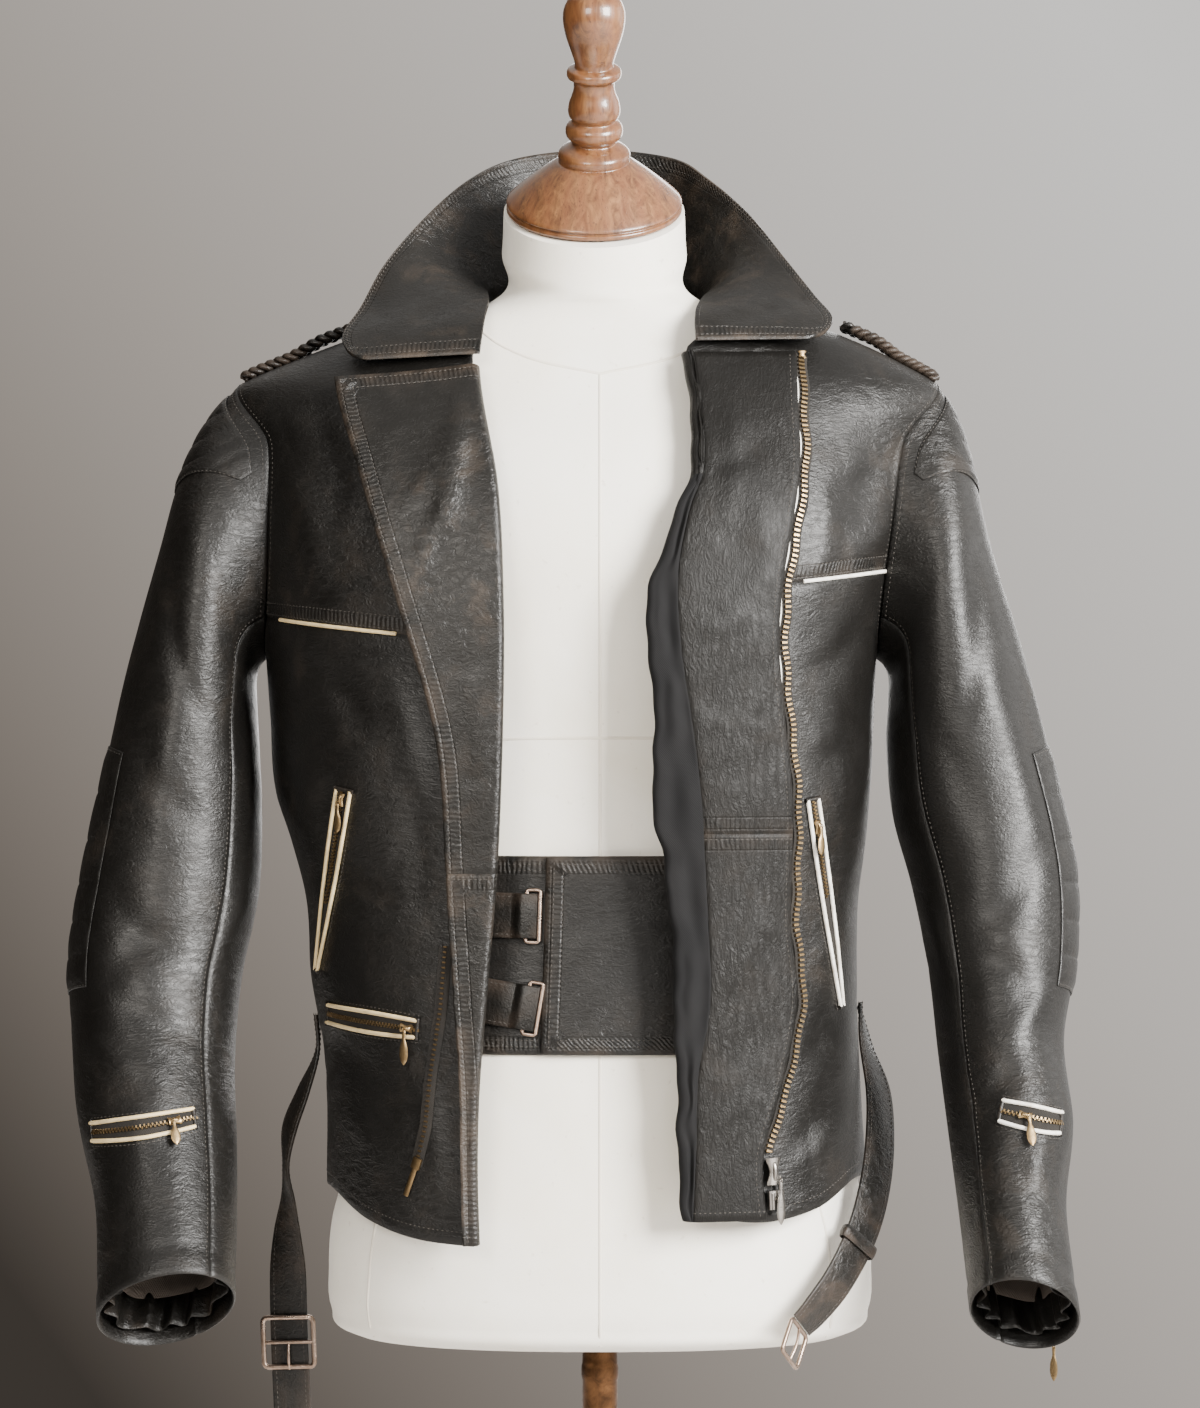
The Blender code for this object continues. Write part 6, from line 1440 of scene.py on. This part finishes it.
def makeMainZip():
    z = np.linspace(mainZip["low"], leftEdge["z"][-1] - 0.009, 260)
    free = through(leftEdge["z"], leftEdge["free"], z) + mainZip["wave"] * np.sin(z * 170)
    middle = onBody(free + 0.0050, z)
    makePiece("main_zip_left_tape", [ribbon(onBody(free + 0.0032, z), 0.0120, 0.0022, 0.0031),
                                     ribbon(onBody(free + 0.0012, z), 0.0014, 0.0030, 0.0044)], "tape")
    raws = teeth(middle, mainZip["pitch"], mainZip["tooth"], 0.0023, 0.0031, both=False)
    top = middle[0][-1], middle[1][-1]
    raws += sliderRaws(top[0] + top[1] * 0.0028, (0, 0, 1), top[1], 0.0050, 0.0060, 0.0030)[:1]
    makePiece("main_zip_left_teeth", raws, "brass", hides=["main_zip_left"])
    silver = onBody(free[150:] + 0.0005, z[150:])
    makePiece("main_zip_left_cord", [tube(silver[0] + silver[1] * 0.0040, silver[1], 0.0007, 0.0005, 6)],
              "piping")

    z = np.linspace(mainZip["boxLow"], mainZip["boxTop"], 14)
    free = through(leftEdge["z"], leftEdge["free"], z) + 0.0076
    points, normals = onBody(free, z)
    along, across = unit(points[-1] - points[0]), unit(np.cross(points[-1] - points[0], normals[0]))
    out = np.cross(across, along)
    box = np.linspace(0, 0.34, 8)
    at = lambda share, aside, lift: (points[0] + (points[-1] - points[0]) * np.atleast_1d(share)[:, None]
                                     + across * aside + out * lift)
    raws = [strapRaw(at(box, 0.0, 0.0046), out, 0.0115, 0.0030, 0.6),
            tube(at(np.linspace(0.0, 0.30, 5), -0.0030, 0.0063), out, 0.0013, 0.0008, 8, wear=0.6),
            tube(at(np.linspace(0.30, 0.60, 6), 0.0034, 0.0044), out, 0.0011, 0.0011, 8, wear=0.6)]
    raws += sliderRaws(points[9] + out * 0.0030, along, out, 0.0175, 0.0105, 0.0054)
    makePiece("main_zip_box", raws, "nickel", hides=["main_zip_slider"])
    makePull("main_zip_pull", 0.030, (0, 0, -1), "nickel")

    spots = [(-0.1010, 1.010), (-0.1040, 0.970), (-0.1110, 0.924), (-0.1140, 0.892), (-0.1203, 0.866)]
    path = pathOn(panels["front_right_lower"], spots)
    makePiece("main_zip_right_tape", [ribbon(path, 0.0090, 0.0002, 0.0010)], "tape")
    raws = teeth(path, mainZip["pitch"], mainZip["rightTooth"], 0.0013, 0.0010, both=False)
    pin = pathOn(panels["front_right_lower"], [(-0.1196, 0.868), (-0.1270, 0.846)])
    raws.append(tube(pin[0] + pin[1] * 0.0017, pin[1], 0.0020, 0.0011, 10, wear=0.6))
    cuff = pathOn(panels["front_right_lower"], [(-0.1185, 0.871), (-0.1208, 0.864)])
    raws.append(strapRaw(cuff[0] + cuff[1] * 0.0017, cuff[1], 0.0064, 0.0022, 0.5))
    makePiece("main_zip_right_teeth", raws, "oldBrass", hides=["main_zip_right"])


makeCuffZip()
makeMainZip()

# Cream piping stands in the yoke seams
for side, word, ends in ((-1, "right", (-0.2150, -0.1330)), (1, "left", (0.1320, 0.1940))):
    first = {key: panels[f"front_{word}_yoke"][key][0] for key in ("points", "normals")}
    inside = (first["points"][:, 0] > ends[0]) & (first["points"][:, 0] < ends[1])
    path = resample(first["points"][inside], first["normals"][inside], 0.003)
    makePiece(f"yoke_{word}_cord", [tube(path[0] + path[1] * 0.0007, path[1], 0.0013, 0.0012, 8)],
              "piping", hides=[f"yoke_{word}_piping"])
print("main zip, cuff zip and piping made")

# The kidney belt: one band round the form's waist that laps over itself in front
kidney = {"low": 0.938, "top": 1.067, "gap": 0.0006, "wall": 0.0028, "strapWidth": 0.030, "strapWall": 0.0024,
          "creases": [
              (-0.030, 0.985, 0.040, 1.030, 0.0010, 0.010), (-0.010, 1.020, 0.030, 1.040, -0.0009, 0.007),
              (0.000, 0.960, 0.050, 0.975, -0.0010, 0.008), (-0.080, 1.000, -0.060, 1.050, 0.0009, 0.009)]}
turns = -np.radians(np.linspace(-15.0, 370.0, 232))
turn, z = np.meshgrid(turns, np.linspace(kidney["low"], kidney["top"], 34))
rise = ease((-np.degrees(turn) - 285.0) / 45.0)
base, out = formPoint(turn, z), normalOf(formPoint, turn, z)
lap = kidney["gap"] + (kidney["wall"] + cut["rest"]) * rise
relief = np.maximum(creased(base[..., 0], z, kidney["creases"]), 0.0) * (base[..., 1] < 0) * (rise > 0.99)
kidneyPoints = base + out * (lap + kidney["wall"] + relief)[..., None]
panels["kidney"] = {"points": kidneyPoints, "normals": out}
kidneyPiece = makePiece("kidney_belt_band", [shell(kidneyPoints, out, kidney["wall"] + relief * 0.8,
                                                     hems=("low", "high", "last"))], "leather",
                        hides=["kidney_belt"])
underEnd = int(120 / 385 * 231) + 1
underLayer = {"points": kidneyPoints[:, :underEnd], "normals": out[:, :underEnd]}


# A buckle frame: a wire round a rectangle with rounded corners, given in the plane of across and down
def frameLoop(centre, across, down, halfWidth, halfHeight, corner=0.0025):
    sides = []
    for a, b, start in ((1, -1, -0.5), (1, 1, 0.0), (-1, 1, 0.5), (-1, -1, 1.0)):
        angle = math.pi * np.linspace(start, start + 0.5, 6)
        sides.append(centre + across * (a * (halfWidth - corner) + corner * np.cos(angle))[:, None]
                     + down * (b * (halfHeight - corner) + corner * np.sin(angle))[:, None])
    return np.concatenate(sides)


def bowed(centre, along, out, length, count, bow):  # a buckle's tongue
    t = np.linspace(0.0, 1.0, count)
    return centre + along * (length * t)[:, None] + out * (bow * np.sin(3.0 * t))[:, None]


def barRaw(centre, across, face, half, a, b):
    return tube(centre + across * np.linspace(-half, half, 9)[:, None], face, a, b, 10, wear=0.7)


kidneyStraps = {"upper": ((-0.105, 1.030), (-0.0472, 1.0285)), "lower": ((-0.105, 0.977), (-0.0472, 0.9680))}
for name, ends in kidneyStraps.items():
    path = pathOn(underLayer, ends)
    lift = cut["rest"] + kidney["strapWall"] / 2
    makePiece(f"kidney_strap_{name}_leather",
              [strapRaw(path[0] + path[1] * lift, path[1], kidney["strapWidth"], kidney["strapWall"])],
              "leatherStrap", hides=[f"kidney_strap_{name}"])
    along = unit(np.gradient(path[0], axis=0))
    across = np.cross(along, path[1])
    for way in (-1, 1):
        stitch((path[0] + across * way * 0.0125 + path[1] * (cut["rest"] + kidney["strapWall"] + 0.0001),
                path[1]))
    end, face, reach, aside = path[0][-1], path[1][-1], along[-1], across[-1]
    centre = end + reach * 0.0030 + face * 0.0030
    raws = [tube(frameLoop(centre, reach, aside, 0.0048, 0.0172, 0.0022), face, 0.0013, 0.0011, 10, closed=True,
                 wear=0.7)]
    raws += [barRaw(centre + reach * place, aside, face, 0.0165, thick, thick)
             for place, thick in ((-0.0040, 0.0012), (0.0046, 0.0017))]
    makePiece(f"kidney_buckle_{name}_frame", raws, "copper", hides=[f"kidney_buckle_{name}"])
    t = np.linspace(-0.012, 0.0062, 16)  # the strap's end laps over the frame and leaves its far bar bare
    over = end + reach * t[:, None] + face * (0.0016 + 0.0036 * ease((t + 0.012) / 0.008))[:, None]
    makePiece(f"kidney_strap_{name}_end", [strapRaw(over, face, 0.0296, 0.0020)],
              "leatherStrap")

# The waist belt's loose ends, as middle lines with the turn of their faces
rightBelt = rowTable(
    "x y z turn", (-0.1951, 0.004, 0.955, 90), (-0.1945, 0.002, 0.930, 84), (-0.2040, -0.002, 0.903, 70),
    (-0.2130, -0.006, 0.878, 66), (-0.2155, -0.008, 0.852, 80), (-0.2140, -0.008, 0.830, 68),
    (-0.2145, -0.008, 0.805, 42), (-0.2140, -0.008, 0.775, 14), (-0.2130, -0.008, 0.735, 8),
    (-0.2110, -0.008, 0.690, 5), (-0.2090, -0.008, 0.650, 2))
leftBelt = rowTable(
    "x y z turn", (0.1786, 0.000, 0.962, 90), (0.1825, -0.006, 0.937, 68), (0.1900, -0.022, 0.905, 44),
    (0.1895, -0.044, 0.872, 34), (0.1840, -0.066, 0.842, 30), (0.1740, -0.084, 0.814, 32),
    (0.1580, -0.101, 0.787, 40), (0.1420, -0.111, 0.768, 52), (0.1330, -0.114, 0.759, 60))
strapForm = {"width": 0.026, "wall": 0.0026, "wire": 0.0016, "rightBuckleZ": 0.730, "keeperShare": 9 / 14}


def beltFrame(side, rows, count):
    keys = np.arange(len(rows["x"]), dtype=float)
    at = np.linspace(0, keys[-1], count)
    middle = np.stack([through(keys, rows[axis], at) for axis in "xyz"], axis=1)
    turn = np.radians(through(keys, rows["turn"], at))
    along = unit(np.gradient(middle, axis=0))
    face = np.stack([side * np.sin(turn), -np.cos(turn), np.zeros(count)], axis=1)
    face = unit(face - along * (face * along).sum(axis=1, keepdims=True))
    return middle, along, face, np.cross(along, face)


def makeBelt(word, side, rows):
    middle, along, face, across = beltFrame(side, rows, 110)
    makePiece(f"belt_{word}_strap", [strapRaw(middle, face, strapForm["width"], strapForm["wall"])],
              "leatherStrap", hides=[f"belt_{word}"])
    for way in (-1, 1):
        for front in (-1, 1):
            stitch((middle + across * way * 0.0098 + face * front * (strapForm["wall"] * 0.56), face * front))
    return middle, along, face, across


middle, along, face, across = makeBelt("right", -1, rightBelt)
near = int(np.abs(middle[:, 2] - strapForm["rightBuckleZ"]).argmin())
spot, down, aside, out = middle[near], along[near], across[near], face[near]
centre = spot + out * (strapForm["wall"] / 2 + 0.0009 + strapForm["wire"])
raws = [tube(frameLoop(centre, aside, down, 0.0175, 0.0170, 0.0035), out, 0.0018, 0.0015, 12, closed=True,
             wear=0.7)]
raws += [barRaw(centre + down * place, aside, out, 0.0170, 0.0014, 0.0013) for place in (0.0, 0.0165)]
raws.append(tube(bowed(centre, down, out, 0.0185, 12, 0.0016), out, 0.0011, 0.0011, 8, wear=0.7))
makePiece("belt_right_frame", raws, "copper", hides=["belt_right_buckle"])

middle, along, face, across = makeBelt("left", 1, leftBelt)
at = int(strapForm["keeperShare"] * 109)
ringTurn = np.linspace(0, 2 * math.pi, 40, endpoint=False)
square = lambda wave: np.sign(wave) * np.abs(wave)**0.35
bandPath = (middle[at] + across[at] * (square(np.cos(ringTurn)) * 0.0150)[:, None]
            + face[at] * (square(np.sin(ringTurn)) * 0.0031)[:, None])
outward = unit(bandPath - middle[at])
makePiece("belt_left_loop", [tube(bandPath, outward, 0.0045, 0.0009, 10, closed=True, wear=0.8)],
          "leatherStrap", hides=["belt_keeper"])

hinge = hinges["belt_left_buckle"]
pivot, aside = np.array(hinge["pos_m"]), unit(np.array(hinge["axis"]))
down = unit(np.array([0.0, 0.0, -1.0]) + aside * aside[2])
out = np.cross(aside, down)
raws = [tube(frameLoop(pivot + down * 0.0120, aside, down, 0.0130, 0.0120, 0.0030), out, 0.0016, 0.0015, 12,
             closed=True, wear=0.7)]
raws.append(tube(bowed(pivot, down, out, 0.0250, 14, 0.0018), out, 0.0011, 0.0011, 8, wear=0.7))
makePiece("belt_left_frame", raws, "copper", rides="belt_left_buckle", hides=["belt_left_buckle"])
print("kidney belt and waist belts made")

# Stitching: double rows along the collar, lapels and yoke, single ones at hems, edges and seams
def inFrom(name, edge, distances, start=0.0, stop=1.0):
    for distance in distances:
        stitch(inset(panels[name], edge, distance, start, stop))


hemRows = (hemForm["first"], hemForm["second"])
for side, word in sides:
    inFrom(f"front_{word}_yoke", "low", hemRows, 0.30, 0.99)
    inFrom(f"front_{word}_yoke", "last", (0.0040,), 0.02, 0.90)
    inFrom(f"front_{word}_lower", "low", (0.0080,), 0.02, 0.99)
    inFrom(f"front_{word}_lower", "last", (0.0035,), 0.02, 0.98)
    for part in ("lower", "upper"):
        inFrom(f"facing_{word}_{part}", "first", hemRows if word == "right" else (0.0040,), 0.01, 0.99)
    inFrom(f"facing_{word}_lower", "high", (0.0035,), 0.02, 0.62 if word == "right" else 0.98)
    inFrom(f"sleeve_{word}_upper", "first", (0.0035,), 0.02, 0.99)
    inFrom(f"sleeve_{word}_upper", "last", (0.0035,), 0.02, 0.99)
    inFrom(f"sleeve_{word}_upper", "low", (0.0040,), 0.01, 0.99)
inFrom("facing_right_upper", "high", hemRows, 0.02, 0.62)
inFrom("facing_right_lower", "low", (0.0050,), 0.02, 0.62)
inFrom("facing_left_lower", "low", (0.0050,), 0.02, 0.98)
inFrom("collar", "high", hemRows, 0.012, 0.988)
inFrom("collar", "first", hemRows, 0.12, 0.90)
inFrom("collar", "last", hemRows, 0.12, 0.90)
inFrom("back", "low", (0.0080,), 0.01, 0.99)
inFrom("kidney", "low", (0.0045, 0.0085), 0.0, 0.99)
inFrom("kidney", "high", (0.0045, 0.0085), 0.0, 0.99)
inFrom("kidney", "last", (0.0045, 0.0105), 0.03, 0.97)
backZ = panels["back"]["points"][:, 60, 2]
for seamZ in cut["backSeams"]:
    for away in (-0.0042, 0.0042):
        row = np.interp(seamZ + away, backZ, np.arange(len(backZ)))
        columns = np.linspace(1, bodyPanels["backColumns"] - 2, 120)
        stitch(onPanel(panels["back"], np.full(120, row), columns))
makePiece("stitching", allStitches, "thread")
print("stitches:", len(allStitches), "rows")

# Each cloth and leather panel's cut size and area, worked out and not kept
for side, word in sides:
    for part in ("lower", "yoke"):
        declareCloth(panels[f"front_{word}_{part}"]["points"])
    for part, piece in zip(("upper", "under"), sleeves[word]):
        declareCloth(panels[f"sleeve_{word}_{part}"]["points"])
    declareCloth(cuffs[word][1])
for piece, name, word in zip(facings, ("facing_right_lower", "facing_right_upper", "facing_left_lower",
                                       "facing_left_upper"), ("right", "right", "left", "left")):
    declareCloth(panels[name]["points"])
declareCloth(panels["back"]["points"])
declareCloth(liningPoints[below])
declareCloth(liningPoints[above])
declareCloth(collarPoints)
declareCloth(kidneyPoints)
